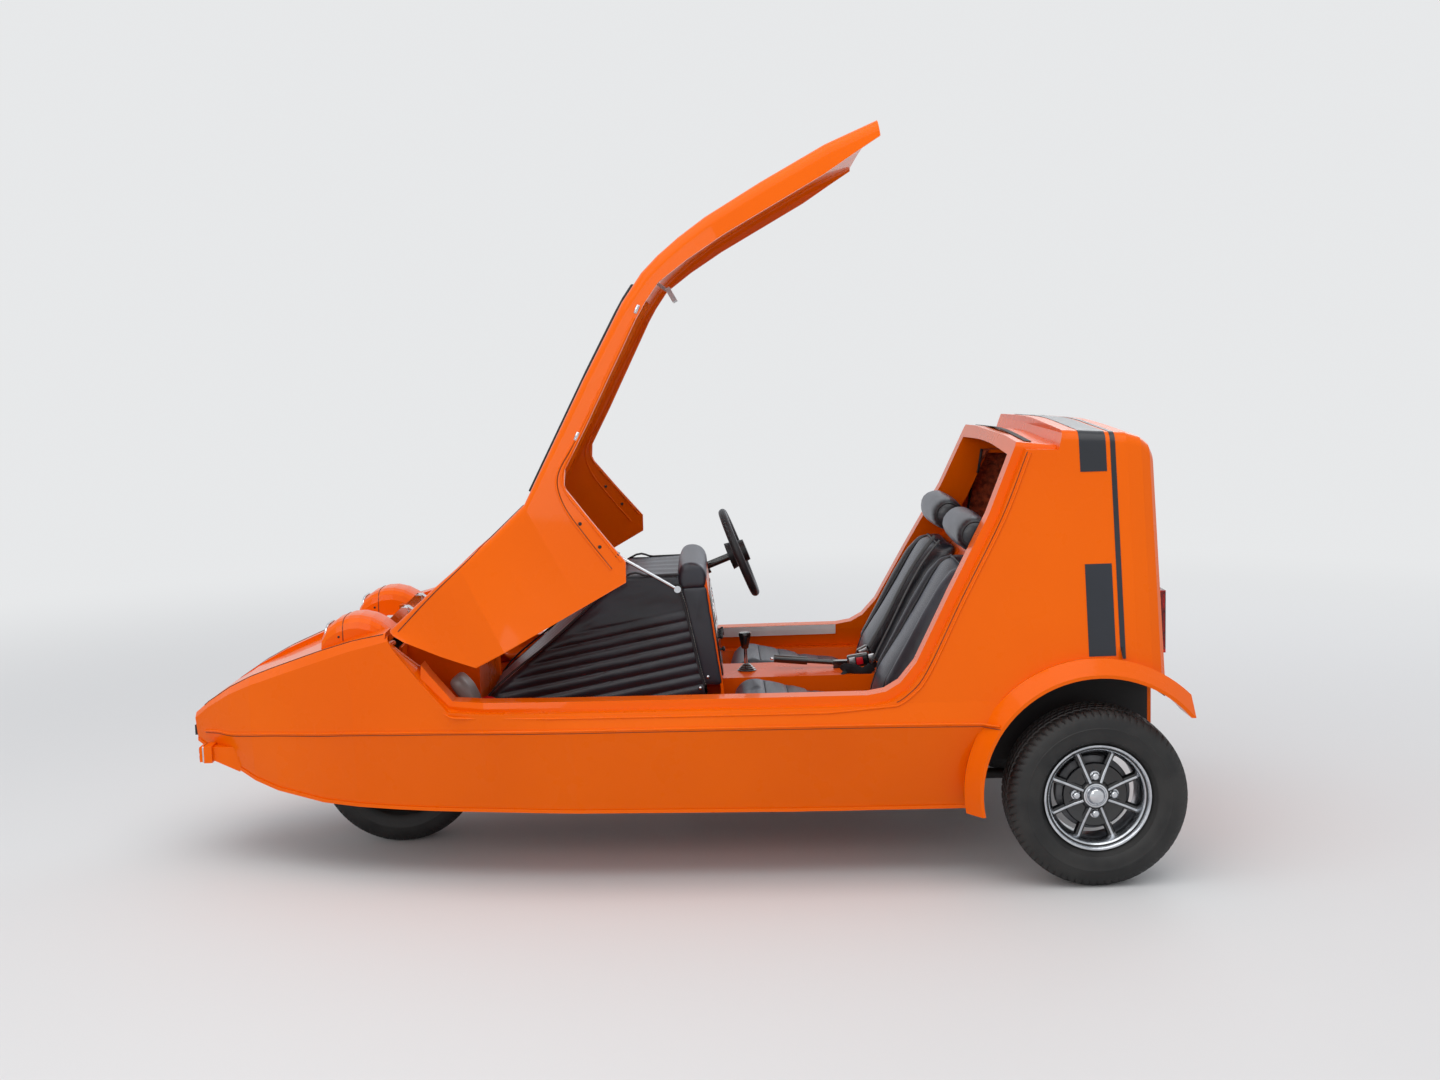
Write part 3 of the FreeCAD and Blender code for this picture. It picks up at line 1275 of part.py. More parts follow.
def roof_latch():
    """Catch on top of the roof's rear edge."""
    crown = up(crown_height(-1010))
    base = block(along(-1035), along(-985), -22, 22, crown - 20, crown + 5)
    handle = block(along(-1060), along(-992), -12, 12, crown + 4, crown + 12)
    return base.fuse(handle).cut(canopy_solid.translated(Vector(0, 0, 0.3)))


def mirror():
    """Rear-view mirror on the header over the screen."""
    stem = tube(Vector(along(-352), 0, up(1172)), Vector(along(-372), 0, up(1126)), 5)
    glass = block(along(-384), along(-370), -85, 85, up(1084), up(1128))
    return stem.fuse(glass).cut(canopy_solid)


feature("strut_cylinder", strut_cylinder())
feature("strut_rod", strut_rod())
feature("strut_lug", strut_lug(), OPEN_PLACEMENT)
feature("strut_stud", strut_stud())
feature("mirror", mirror(), OPEN_PLACEMENT)
feature("roof_latch", roof_latch(), OPEN_PLACEMENT)
feature("canopy_hinges", canopy_hinges(), OPEN_PLACEMENT)
feature("hinge_brackets", hinge_brackets())

doc.recompute()
os.makedirs("parts", exist_ok=True)
for node in NODES:
    if "Invalid" in node.State or "Error" in node.State:
        raise RuntimeError("failed: " + node.Label)
    if node.Shape.isNull() or not node.Shape.isValid():
        raise RuntimeError("bad shape: " + node.Label)
    print(node.Label, len(node.Shape.Solids), round(node.Shape.Volume / 1e6, 2), node.Shape.BoundBox)
    node.Shape.exportStep("parts/" + node.Label + ".step")
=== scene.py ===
"""Looks of the three wheeled car with a lift-up canopy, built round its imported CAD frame."""
import bmesh
import bpy
import json
import math
from mathutils import Matrix, Vector, noise
from mathutils.bvhtree import BVHTree


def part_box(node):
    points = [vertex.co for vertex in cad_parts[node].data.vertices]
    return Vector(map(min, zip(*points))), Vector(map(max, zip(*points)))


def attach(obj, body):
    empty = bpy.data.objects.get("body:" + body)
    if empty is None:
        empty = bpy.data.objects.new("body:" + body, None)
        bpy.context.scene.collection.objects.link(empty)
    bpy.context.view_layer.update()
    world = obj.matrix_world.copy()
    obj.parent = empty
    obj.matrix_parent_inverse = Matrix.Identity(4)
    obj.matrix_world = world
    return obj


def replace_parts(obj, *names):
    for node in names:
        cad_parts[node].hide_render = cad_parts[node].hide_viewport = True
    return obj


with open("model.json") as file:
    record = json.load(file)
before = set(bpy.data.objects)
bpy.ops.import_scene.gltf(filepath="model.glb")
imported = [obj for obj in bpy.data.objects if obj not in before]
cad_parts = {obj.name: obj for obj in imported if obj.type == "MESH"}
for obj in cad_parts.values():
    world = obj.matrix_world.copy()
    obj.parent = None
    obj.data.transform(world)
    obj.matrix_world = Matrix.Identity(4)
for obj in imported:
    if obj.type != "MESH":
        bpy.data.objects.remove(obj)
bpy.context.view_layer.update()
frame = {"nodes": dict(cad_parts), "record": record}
NODES = frame["nodes"]
JOINTS = {joint["name"]: joint for joint in frame["record"]["behaviour"]["joints"]}
SIDES = ((1, "left"), (-1, "right"))

# The canopy's opening, from the record: the photo shows it open, and some places are given for it shut.
HINGE = Vector(JOINTS["canopy_hinge"]["pos_m"])
OPEN_ANGLE = math.radians(JOINTS["canopy_hinge"]["range_deg"][1])
OPENED = Matrix.Translation(HINGE) @ Matrix.Rotation(OPEN_ANGLE, 4, "Y") @ Matrix.Translation(-HINGE)


def mm(*rows):
    """Rows of millimetres as tuples of metres."""
    return [tuple(value / 1000 for value in row) for row in rows]


# ---------------------------------------------------------------- camera, light and stage

CAMERA_PLACE = (-0.150, 5.099, 1.484)
PITCH, ROLL, YAW = math.radians(6.77), math.radians(1.60), math.radians(0.20)
BACKDROP = (0.80, 0.81, 0.82, 1)
SKYLIGHT = (0.92, 0.95, 1.0, 1)
# Columns: name, place, aim, width, height, watts, colour.
LAMPS = [
    ("sky", (0.2, 1.6, 4.6), (0, 0, 0.5), 6.0, 4.0, 110, (1.0, 0.99, 0.97)),
    ("side", (2.6, 6.4, 3.2), (0, 0, 0.6), 3.2, 2.2, 70, (1.0, 0.98, 0.95)),
    ("back", (-3.0, -4.5, 3.0), (0, 0, 0.6), 3.0, 2.0, 40, (0.95, 0.97, 1.0)),
]


def spun(first, second, angle):
    """Two square ways, turned in their plane."""
    cos, sin = math.cos(angle), math.sin(angle)
    return first * cos - second * sin, second * cos + first * sin


def add_camera():
    """Camera at the photograph's place: off the car's left side, looking a little down."""
    right, down, ahead = Vector((-1, 0, 0)), Vector((0, 0, -1)), Vector((0, -1, 0))
    right, ahead = spun(right, ahead, YAW)
    down, ahead = spun(down, ahead, PITCH)
    right, down = spun(right, down, -ROLL)
    data = bpy.data.cameras.new("camera")
    data.sensor_width = 36
    data.lens = 43.02
    camera = bpy.data.objects.new("camera", data)
    camera.matrix_world = frame_of(right, -down, -ahead, CAMERA_PLACE)
    bpy.context.scene.collection.objects.link(camera)
    bpy.context.scene.camera = camera


def frame_of(first, second, third, centre):
    """Matrix of a place and its three axes."""
    return Matrix.Translation(centre) @ Matrix((first, second, third)).transposed().to_4x4()


def add_lamp(name, place, aim, width, height, watts, color):
    """Soft rectangular lamp."""
    data = bpy.data.lights.new(name, "AREA")
    data.shape = "RECTANGLE"
    data.size, data.size_y = width, height
    data.energy = watts
    data.color = color
    lamp = bpy.data.objects.new(name, data)
    lamp.location = place
    lamp.rotation_euler = (Vector(aim) - Vector(place)).to_track_quat("-Z", "Y").to_euler()
    bpy.context.scene.collection.objects.link(lamp)


def shader_node(tree, kind, inputs=(), **settings):
    """New node. inputs: sockets, each with its value, or with the node or output that feeds it."""
    made = tree.nodes.new("ShaderNode" + kind)
    for name, value in settings.items():
        setattr(made, name, value)
    for socket, source in inputs:
        if isinstance(source, bpy.types.Node):
            source = source.outputs[0]
        if isinstance(source, bpy.types.NodeSocket):
            tree.links.new(source, made.inputs[socket])
        else:
            made.inputs[socket].default_value = source
    return made


def seen_ray(tree):
    """Node that gives 1 for what the camera sees, straight, in gloss or through glass."""
    path = shader_node(tree, "LightPath")
    last = path.outputs["Is Camera Ray"]
    for name in ("Is Glossy Ray", "Is Transmission Ray"):
        last = shader_node(tree, "Math", [(0, last), (1, path.outputs[name])], operation="MAXIMUM")
    return last


def add_stage():
    """Pale floor that runs into a pale studio, and soft lamps."""
    world = bpy.data.worlds.new("studio")
    bpy.context.scene.world = world
    world.use_nodes = True
    tree = world.node_tree
    tree.nodes.clear()
    light = shader_node(tree, "Background", [("Color", SKYLIGHT), ("Strength", 0.80)])
    seen = shader_node(tree, "Background", [("Color", BACKDROP), ("Strength", 1.0)])
    mix = shader_node(tree, "MixShader", [(0, seen_ray(tree)), (1, light), (2, seen)])
    shader_node(tree, "OutputWorld", [(0, mix)])
    bpy.ops.mesh.primitive_plane_add(size=60, location=(0, 0, 0))
    floor = bpy.context.object
    floor.name = "floor"
    pale, tree, shader = new_material("floor_pale", (0.66, 0.655, 0.65), 0.85)
    # away from the car the floor runs into the backdrop's colour
    place = shader_node(tree, "TexCoord").outputs["Object"]
    length = shader_node(tree, "VectorMath", [(0, place)], operation="LENGTH").outputs["Value"]
    reach = [("From Min", 2.2), ("From Max", 7.0), ("Value", length)]
    fade = shader_node(tree, "MapRange", reach, interpolation_type="SMOOTHSTEP")
    both = shader_node(tree, "Math", [(0, fade), (1, seen_ray(tree))], operation="MULTIPLY")
    glow = shader_node(tree, "Emission", [("Color", BACKDROP)])
    mix = shader_node(tree, "MixShader", [(0, both), (1, shader), (2, glow)])
    tree.links.new(mix.outputs[0], tree.nodes["Material Output"].inputs[0])
    floor.data.materials.append(pale)
    for lamp in LAMPS:
        add_lamp(*lamp)


# ---------------------------------------------------------------- materials


def paint(red, green, blue):
    """Linear colour from a screen colour of 0 to 255."""
    parts = (red, green, blue)
    return tuple(((c / 255 + 0.055) / 1.055) ** 2.4 if c > 10 else c / 255 / 12.92 for c in parts)


def new_material(name, color, roughness, metallic=0.0, coat=0.0):
    """Principled material, its node tree and its shader."""
    material = bpy.data.materials.new(name)
    material.use_nodes = True
    tree = material.node_tree
    shader = tree.nodes["Principled BSDF"]
    shader.inputs["Base Color"].default_value = (*color, 1)
    shader.inputs["Roughness"].default_value = roughness
    shader.inputs["Metallic"].default_value = metallic
    shader.inputs["Coat Weight"].default_value = coat
    shader.inputs["Coat Roughness"].default_value = 0.04
    return material, tree, shader


def texture(tree, kind, scale, detail=3.0):
    """Procedural texture node on the piece's own coordinates."""
    place = shader_node(tree, "TexCoord").outputs["Object"]
    made = shader_node(tree, "Tex" + kind, [("Scale", scale), ("Vector", place)])
    if "Detail" in made.inputs:
        made.inputs["Detail"].default_value = detail
    return made


def tint(tree, shader, source, dark, light, low, high):
    """Base colour that runs from dark to light with a texture."""
    ramp = shader_node(tree, "ValToRGB", [(0, source)])
    for stop, place, color in zip(ramp.color_ramp.elements, (low, high), (dark, light)):
        stop.position = place
        stop.color = (*color, 1)
    tree.links.new(ramp.outputs[0], shader.inputs["Base Color"])


def rough_range(tree, shader, source, low, high):
    """Roughness that runs between two values with a texture."""
    spread = shader_node(tree, "MapRange", [("To Min", low), ("To Max", high), ("Value", source)])
    tree.links.new(spread.outputs[0], shader.inputs["Roughness"])


def bump(tree, shader, source, strength, distance):
    """Surface relief from a texture."""
    relief = shader_node(tree, "Bump", [("Strength", strength), ("Distance", distance), ("Height", source)])
    tree.links.new(relief.outputs[0], shader.inputs["Normal"])


def textured(name, dark, light, rough, metallic=0.0, coat=0.0, tone_scale=4.0, grain=None):
    """Material with colour and roughness that vary, and relief. grain: kind, scale, strength, distance."""
    material, tree, shader = new_material(name, paint(*light), rough[0], metallic, coat)
    tone = texture(tree, "Noise", tone_scale)
    tint(tree, shader, tone, paint(*dark), paint(*light), 0.35, 0.65)
    rough_range(tree, shader, tone, *rough)
    if grain:
        kind, scale, strength, distance = grain
        relief = texture(tree, kind, scale)
        bump(tree, shader, relief.outputs["Fac" if kind == "Wave" else 0], strength, distance)
    return material


def orange_paint(name, dark, light, coat, ripple):
    """Glossy moulded skin: nearly even orange with a slow ripple."""
    material, tree, shader = new_material(name, paint(*light), 0.28, 0.0, coat)
    shader.inputs["Specular IOR Level"].default_value = 0.06
    shader.inputs["Coat IOR"].default_value = 1.32
    tint(tree, shader, texture(tree, "Noise", 1.6, 2.0), paint(*dark), paint(*light), 0.3, 0.7)
    rough_range(tree, shader, texture(tree, "Noise", 9.0, 6.0), 0.24, 0.32)
    bump(tree, shader, texture(tree, "Noise", 2.6, 1.0), ripple, 0.02)
    return material


def clear_glass(name, color, roughness=0.0):
    """See-through glass or plastic with a faint smear of dust."""
    material, tree, shader = new_material(name, paint(*color), roughness)
    shader.inputs["Transmission Weight"].default_value = 1.0
    shader.inputs["IOR"].default_value = 1.45
    rough_range(tree, shader, texture(tree, "Noise", 9.0, 6.0), roughness, roughness + 0.05)
    return material


M = {
    "skin": orange_paint("orange_skin", (228, 93, 0), (236, 100, 0), 0.34, 0.012),
    "inner": orange_paint("orange_inner", (222, 82, 0), (232, 90, 2), 0.2, 0.08),
    "glass": clear_glass("clear_glass", (236, 242, 242)),
    "lens": clear_glass("lamp_lens", (240, 243, 245), 0.04),
    "amber": clear_glass("amber_lens", (255, 132, 10), 0.05),
    "red": clear_glass("red_lens", (214, 18, 12), 0.05),
}
# Columns: name; dark and light screen colours; least and most roughness; metallic; coat; scale of the tone;
# grain's kind, scale, strength and distance.
TEXTURED = {
    "vinyl": ("black_vinyl", (20, 21, 26), (36, 38, 46), (0.34, 0.48), 0, 0, 4,
              ("Voronoi", 520, 0.35, 0.0006)),
    "pad": ("black_pad", (20, 20, 22), (38, 38, 42), (0.45, 0.62), 0, 0, 4, ("Noise", 700, 0.4, 0.0004)),
    "gloss_black": ("gloss_black", (14, 14, 16), (24, 24, 27), (0.14, 0.28), 0, 0.6, 4,
                    ("Noise", 300, 0.04, 0.0003)),
    "stripe": ("stripe_black", (20, 24, 32), (27, 32, 42), (0.30, 0.42), 0, 0.1, 4,
               ("Noise", 240, 0.05, 0.0003)),
    "rubber": ("black_rubber", (16, 16, 17), (34, 34, 35), (0.55, 0.78), 0, 0, 4,
               ("Noise", 260, 0.3, 0.0005)),
    "tyre": ("tyre_rubber", (18, 18, 19), (38, 37, 36), (0.42, 0.70), 0, 0, 14, ("Noise", 420, 0.35, 0.0006)),
    "chrome": ("chrome", (196, 199, 204), (214, 216, 220), (0.06, 0.16), 1, 0, 30,
               ("Noise", 60, 0.02, 0.0005)),
    "polished": ("polished_metal", (186, 190, 196), (210, 213, 218), (0.16, 0.30), 1, 0, 40,
                 ("Noise", 500, 0.08, 0.0003)),
    "brushed": ("brushed_metal", (176, 179, 182), (205, 207, 210), (0.24, 0.40), 1, 0, 24,
                ("Noise", 900, 0.15, 0.0003)),
    "cast": ("cast_metal", (84, 84, 86), (120, 120, 122), (0.45, 0.65), 0.9, 0, 18,
             ("Noise", 180, 0.5, 0.001)),
    "frame": ("frame_paint", (18, 18, 19), (36, 35, 34), (0.35, 0.60), 0, 0, 9, ("Noise", 120, 0.3, 0.0008)),
    "pipe": ("pipe_steel", (92, 84, 74), (132, 126, 118), (0.35, 0.55), 1, 0, 8, ("Noise", 90, 0.3, 0.0006)),
    "carpet": ("brown_carpet", (120, 50, 26), (186, 88, 50), (0.9, 1.0), 0, 0, 60,
               ("Noise", 260, 1.0, 0.004)),
    # plate: the sill plates are bright metal; this near-white, non-metallic colour is a painted reflection of
    # bright light on them
    "plate": ("sill_metal", (238, 239, 238), (250, 250, 249), (0.30, 0.44), 0, 0, 12,
              ("Noise", 600, 0.12, 0.0003)),
    "grey": ("grey_moulding", (104, 96, 92), (134, 124, 120), (0.30, 0.48), 0, 0, 8,
             ("Noise", 420, 0.25, 0.0004)),
    "webbing": ("belt_webbing", (14, 14, 17), (30, 31, 36), (0.55, 0.72), 0, 0, 90,
                ("Wave", 260, 0.6, 0.0006)),
    "button": ("buckle_red", (188, 8, 26), (214, 14, 34), (0.30, 0.42), 0, 0, 4,
               ("Noise", 300, 0.08, 0.0002)),
    # joint: the orange skin's colour in painted shade, for the dark lines in the grooves, gaps and steps of
    # the skin
    "joint": ("orange_joint", (84, 34, 6), (118, 48, 8), (0.5, 0.7), 0, 0, 30),
    "thread": ("pale_thread", (150, 150, 146), (196, 196, 190), (0.45, 0.65), 0, 0, 60,
               ("Noise", 900, 0.3, 0.0003)),
    "mirror": ("mirror_back", (176, 180, 184), (198, 201, 204), (0.28, 0.42), 0, 0, 20),
}
for key, row in TEXTURED.items():
    M[key] = textured(*row)
# Soft surfaces also get a faint sheen and a bluish gloss of this weight.
for key, gloss in (("vinyl", 0.30), ("pad", 0.12)):
    soft = M[key].node_tree.nodes["Principled BSDF"].inputs
    soft["Sheen Weight"].default_value = 0.10
    soft["Sheen Roughness"].default_value = 0.35
    soft["Sheen Tint"].default_value = (0.46, 0.54, 0.80, 1)
    soft["Coat Weight"].default_value = gloss
    soft["Coat Roughness"].default_value = 0.26
    soft["Coat Tint"].default_value = (0.80, 0.86, 1.0, 1)
NODE_MATERIALS = {
    "skin": "lower_hull upper_body nose_deck canopy_shell headlamp_cowls boot_lid front_lamps",
    "inner": "floor_tub",
    "glass": "windscreen rear_window",
    "vinyl": "engine_cover seat_base_left seat_base_right seat_back_left seat_back_right headrest_left "
             "headrest_right",
    "pad": "dash_panel steering_wheel",
    "carpet": "luggage_floor",
    "gloss_black": "steering_column gear_lever handbrake pedals strut_cylinder",
    "rubber": "nose_buffer roof_seal wheel_arch_liners",
    "tyre": "tyre_front tyre_rear_left tyre_rear_right",
    "polished": "rim_front rim_rear_left rim_rear_right",
    "chrome": "strut_rod roof_latch canopy_hinges hinge_brackets boot_hinges",
    "plate": "sill_plates",
    "cast": "engine_block rear_axle propshaft",
    "frame": "strut_lug strut_stud chassis_frame steering_fork trailing_arms rear_springs fuel_tank radiator",
    "pipe": "exhaust",
    "lens": "headlamps",
    "mirror": "mirror",
    "red": "rear_lamps",
}


def dress_nodes():
    """Gives every CAD node its material."""
    for key, names in NODE_MATERIALS.items():
        for name in names.split():
            data = NODES[name].data
            data.materials.clear()
            data.materials.append(M[key])
            data.shade_smooth()
            data.set_sharp_from_angle(angle=math.radians(24))


add_stage()
add_camera()
dress_nodes()

# ---------------------------------------------------------------- helpers that make pieces


def piece(name, mesh, material, smooth=40, body="car_body"):
    """Object that rides on a body, from (vertices, faces). smooth: largest angle shaded smooth."""
    data = bpy.data.meshes.new(name)
    data.from_pydata([tuple(v) for v in mesh[0]], [], mesh[1])
    data.validate()
    made = bpy.data.objects.new(name, data)
    bpy.context.scene.collection.objects.link(made)
    data.materials.append(M[material])
    data.shade_smooth()
    data.set_sharp_from_angle(angle=math.radians(smooth))
    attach(made, body)
    return made


def turns(steps):
    """Evenly spaced angles of a full turn."""
    return [2 * math.pi * k / steps for k in range(steps)]


def bent(value, power):
    """Power of a value that keeps its sign."""
    return math.copysign(abs(value) ** power, value)


def sheet_faces(rings, size, closed_rings=False, closed_size=False):
    """Quads between neighbouring rows or rings of equal size."""
    faces = []
    for i in range(rings if closed_rings else rings - 1):
        j = (i + 1) % rings
        for k in range(size if closed_size else size - 1):
            m = (k + 1) % size
            faces.append((i * size + k, i * size + m, j * size + m, j * size + k))
    return faces


def sheet(rows):
    """Open sheet through equal rows of points."""
    return [v for row in rows for v in row], sheet_faces(len(rows), len(rows[0]))


def solid(rings, ends=("back", "on")):
    """Form through equal rings. ends: order of the points of its first and last face, None if open."""
    size, count = len(rings[0]), len(rings[0]) * len(rings)
    faces = sheet_faces(len(rings), size, False, True)
    for start, end in zip((0, count - size), ends):
        if end:
            cap = tuple(range(start, start + size))
            faces.append(cap if end == "on" else cap[::-1])
    return [v for ring in rings for v in ring], faces


def lathe(profile, centre, axis, steps, radius_at=None):
    """Closed profile of (along, radius) turned about an axis."""
    axis = Vector(axis).normalized()
    across = axis.orthogonal().normalized()
    other = axis.cross(across)
    verts = []
    for turn in turns(steps):
        out = across * math.cos(turn) + other * math.sin(turn)
        for along, radius in profile:
            if radius_at:
                radius = radius_at(turn, along, radius)
            verts.append(Vector(centre) + axis * along + out * radius)
    return verts, sheet_faces(steps, len(profile), True, True)


def blend_at(table, x):
    """Value between the rows of a table of (x, value) pairs."""
    if x <= table[0][0]:
        return table[0][1]
    for (x_a, v_a), (x_b, v_b) in zip(table, table[1:]):
        if x <= x_b:
            return v_a + (v_b - v_a) * (x - x_a) / (x_b - x_a)
    return table[-1][1]


def curve_through(points, steps):
    """Smooth run of points through the given ones."""
    points = [Vector(p) for p in points]
    count = len(points)
    run = []
    for i in range(count - 1):
        b, c = points[i], points[i + 1]
        a = points[i - 1] if i else b * 2 - c
        d = points[i + 2] if i + 2 < count else c * 2 - b
        for k in range(steps):
            t = k / steps
            square, cube = 2 * a - 5 * b + 4 * c - d, 3 * b - a - 3 * c + d
            run.append(0.5 * (2 * b + (c - a) * t + square * t * t + cube * t ** 3))
    return run + [points[-1]]


def tube(path, radius, sides, closed=False, flat=1.0):
    """Round or flattened bar along a run of points, with closed ends. radius: one, or one a point."""
    path = [Vector(p) for p in path]
    count = len(path)
    rings = []
    normal = None
    for i, point in enumerate(path):
        before = path[i - 1] if closed or i else path[0]
        after = path[(i + 1) % count] if closed or i + 1 < count else path[-1]
        way = (after - before).normalized()
        if normal is None:
            normal = way.orthogonal().normalized()
            if abs(way.z) < 0.9:
                normal = (Vector((0, 0, 1)) - way * way.z).normalized()
        normal = (normal - way * normal.dot(way)).normalized()
        side = way.cross(normal)
        size = radius[i] if isinstance(radius, list) else radius
        rings.append([point + normal * math.cos(turn) * size * flat + side * math.sin(turn) * size
                      for turn in turns(sides)])
    if closed:
        return [v for ring in rings for v in ring], sheet_faces(count, sides, True, True)
    return solid(rings)


def bar(name, path, radius, material, sides=10, closed=False, flat=1.0, body="car_body"):
    """Piece made of one bar."""
    return piece(name, tube(path, radius, sides, closed, flat), material, 60, body)


def join(*meshes):
    """Several (vertices, faces) as one."""
    verts, faces = [], []
    for more_verts, more_faces in meshes:
        base = len(verts)
        verts += list(more_verts)
        faces += [tuple(base + i for i in face) for face in more_faces]
    return verts, faces


def soft_box(low, high, radius, cuts=2):
    """Box with rounded edges and corners."""
    shape = bmesh.new()
    bmesh.ops.create_cube(shape, size=1.0)
    for vert in shape.verts:
        vert.co = Vector([low[i] if vert.co[i] < 0 else high[i] for i in range(3)])
    bmesh.ops.bevel(shape, geom=list(shape.edges), offset=radius, segments=cuts, profile=0.5, affect="EDGES")
    verts = [vert.co.copy() for vert in shape.verts]
    shape.verts.index_update()
    faces = [tuple(vert.index for vert in face.verts) for face in shape.faces]
    shape.free()
    return verts, faces


def moved(mesh, matrix):
    """Mesh moved by a matrix."""
    return [matrix @ Vector(v) for v in mesh[0]], mesh[1]


def outline_run(corners, radii, spacing):
    """Closed run of (x, z) points round an outline with rounded corners, evenly spaced."""
    points = []
    for i, radius in enumerate(radii):
        corner = Vector(corners[i])
        back = Vector(corners[i - 1]) - corner
        on = Vector(corners[(i + 1) % len(corners)]) - corner
        reach = min(radius, back.length * 0.48, on.length * 0.48)
        start, end = corner + back.normalized() * reach, corner + on.normalized() * reach
        for k in range(7):
            t = k / 6
            points.append(start * (1 - t) ** 2 + corner * 2 * t * (1 - t) + end * t * t)
    lengths = [(b - a).length for a, b in zip(points, points[1:] + points[:1])]
    total = sum(lengths)
    steps = max(8, round(total / spacing))
    run = []
    i, walked = 0, 0.0
    for k in range(steps):
        goal = total * k / steps
        while walked + lengths[i] < goal:
            walked += lengths[i]
            i += 1
        share = (goal - walked) / max(lengths[i], 1e-9)
        run.append(points[i].lerp(points[(i + 1) % len(points)], share))
    return run


def inward(run):
    """Unit normals into a closed run of (x, z) points."""
    area = sum(a.x * b.y - b.x * a.y for a, b in zip(run, run[1:] + run[:1]))
    sign = 1 if area > 0 else -1
    ways = [(run[(i + 1) % len(run)] - run[i - 1]).normalized() for i in range(len(run))]
    return [Vector((-way.y, way.x)) * sign for way in ways]


def bolster(run, y_low, y_high, edge, crown=0.0):
    """Closed pad: an (x, z) outline run across the car from y_low to y_high, with rounded ends."""
    normals = inward(run)
    arc = 6
    ends = []
    for k in range(arc, -1, -1):
        turn = math.pi / 2 * k / arc
        ends.append((y_low + edge * (1 - math.sin(turn)), edge * (1 - math.cos(turn))))
    width = y_high - y_low
    count = max(2, round((width - 2 * edge) / 0.02))
    inner = [(y_low + edge + (width - 2 * edge) * k / count, 0.0) for k in range(1, count)]
    other = [(y_high - (y - y_low), inset) for y, inset in reversed(ends)]
    middle = (y_low + y_high) / 2
    rings = []
    for y, inset in ends + inner + other:
        bulge = crown * (1 - ((y - middle) / (width / 2)) ** 2)
        places = [point + normal * (inset - bulge) for point, normal in zip(run, normals)]
        rings.append([Vector((place.x, y, place.y)) for place in places])
    return solid(rings, ("on", "back"))


def face_outward(made):
    """Makes a closed mesh's faces look out."""
    shape = bmesh.new()
    shape.from_mesh(made.data)
    bmesh.ops.recalc_face_normals(shape, faces=shape.faces)
    shape.to_mesh(made.data)
    shape.free()


def apply_modifiers(made):
    """Bakes a piece's modifiers into its mesh."""
    bpy.context.view_layer.update()
    graph = bpy.context.evaluated_depsgraph_get()
    baked = bpy.data.meshes.new_from_object(made.evaluated_get(graph), depsgraph=graph)
    made.modifiers.clear()
    materials = list(made.data.materials)
    made.data = baked
    if not baked.materials:
        for material in materials:
            baked.materials.append(material)


def modify(made, kind, **settings):
    """Adds a modifier and bakes it."""
    step = made.modifiers.new(kind.lower(), kind)
    for name, value in settings.items():
        setattr(step, name, value)
    apply_modifiers(made)


def inflate(made, voxel, cap, pressure=4.0, hold=None):
    """Puffs a closed pad up as cloth under pressure, and keeps each point within cap of where it was."""
    modify(made, "REMESH", mode="VOXEL", voxel_size=voxel)
    start = [v.co.copy() for v in made.data.vertices]
    cloth = made.modifiers.new("cloth", "CLOTH")
    cloth.settings.quality = 4
    cloth.settings.mass = 0.3
    cloth.settings.tension_stiffness = 15
    cloth.settings.compression_stiffness = 15
    cloth.settings.bending_stiffness = 0.6
    cloth.settings.use_pressure = True
    cloth.settings.uniform_pressure_force = pressure
    cloth.settings.effector_weights.gravity = 0
    cloth.point_cache.frame_start = 1
    cloth.point_cache.frame_end = 20
    scene = bpy.context.scene
    for frame_number in range(1, 21):
        scene.frame_set(frame_number)
    apply_modifiers(made)
    scene.frame_set(1)
    for vert, was in zip(made.data.vertices, start):
        move = vert.co - was
        limit = cap * (hold(was) if hold else 1.0)
        if move.length > limit:
            vert.co = was + move * (limit / move.length)


def pad(name, mesh, voxel, cap, times, fill, replaced=None, **cloth):
    """Inflated and evened-out vinyl pad."""
    made = piece(name, mesh, "vinyl", 50)
    face_outward(made)
    inflate(made, voxel, cap, **cloth)
    modify(made, "SMOOTH", factor=0.5, iterations=times)
    for face in made.data.polygons:
        face.use_smooth = True
    if replaced:
        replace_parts(made, replaced)
    return made


# ---------------------------------------------------------------- wheels

# Tyre from bead to shoulder. Columns: place across from the middle; radius.
TYRE_SIDE = mm(
    (47.5, 130.5), (47.5, 143.3), (52, 147), (60, 150), (66, 154.5), (70, 156.5), (70.8, 157.8), (72.2, 160),
    (76, 169.5), (78, 180), (78.8, 190), (79.5, 191.5), (79.5, 193), (78.4, 194.5), (77.5, 203),
    (75.2, 213.5), (72.5, 219), (70, 224), (66, 229), (62, 233.8), (57, 237.2))
TREAD_HALF = 0.052
TREAD_BLOCKS = 72
TREAD_FOOT = 0.2185
GROOVES = (-0.036, -0.013, 0.013, 0.036)
GROOVE_HALF = 0.0027
GROOVE_DEPTH = 0.006


def tread_radius(turn, along, radius):
    """Radius of the tyre with its grooves and cross cuts."""
    if radius < TREAD_FOOT:
        return radius
    if any(abs(along - groove) < GROOVE_HALF for groove in GROOVES):
        return radius - GROOVE_DEPTH
    outer = abs(along) > GROOVES[3]
    slant = along * 22 if outer else -along * 34
    share = (turn / (2 * math.pi) * TREAD_BLOCKS + slant) % 1
    if abs(along) < GROOVES[2]:
        share = (share * 0.5 + 0.25) % 0.5 * 2
    fade = min(1.0, (radius - TREAD_FOOT) / 0.010)
    depth, part = (0.0042, 0.24) if outer else (0.0030, 0.14)
    return radius - depth * fade if share < part else radius


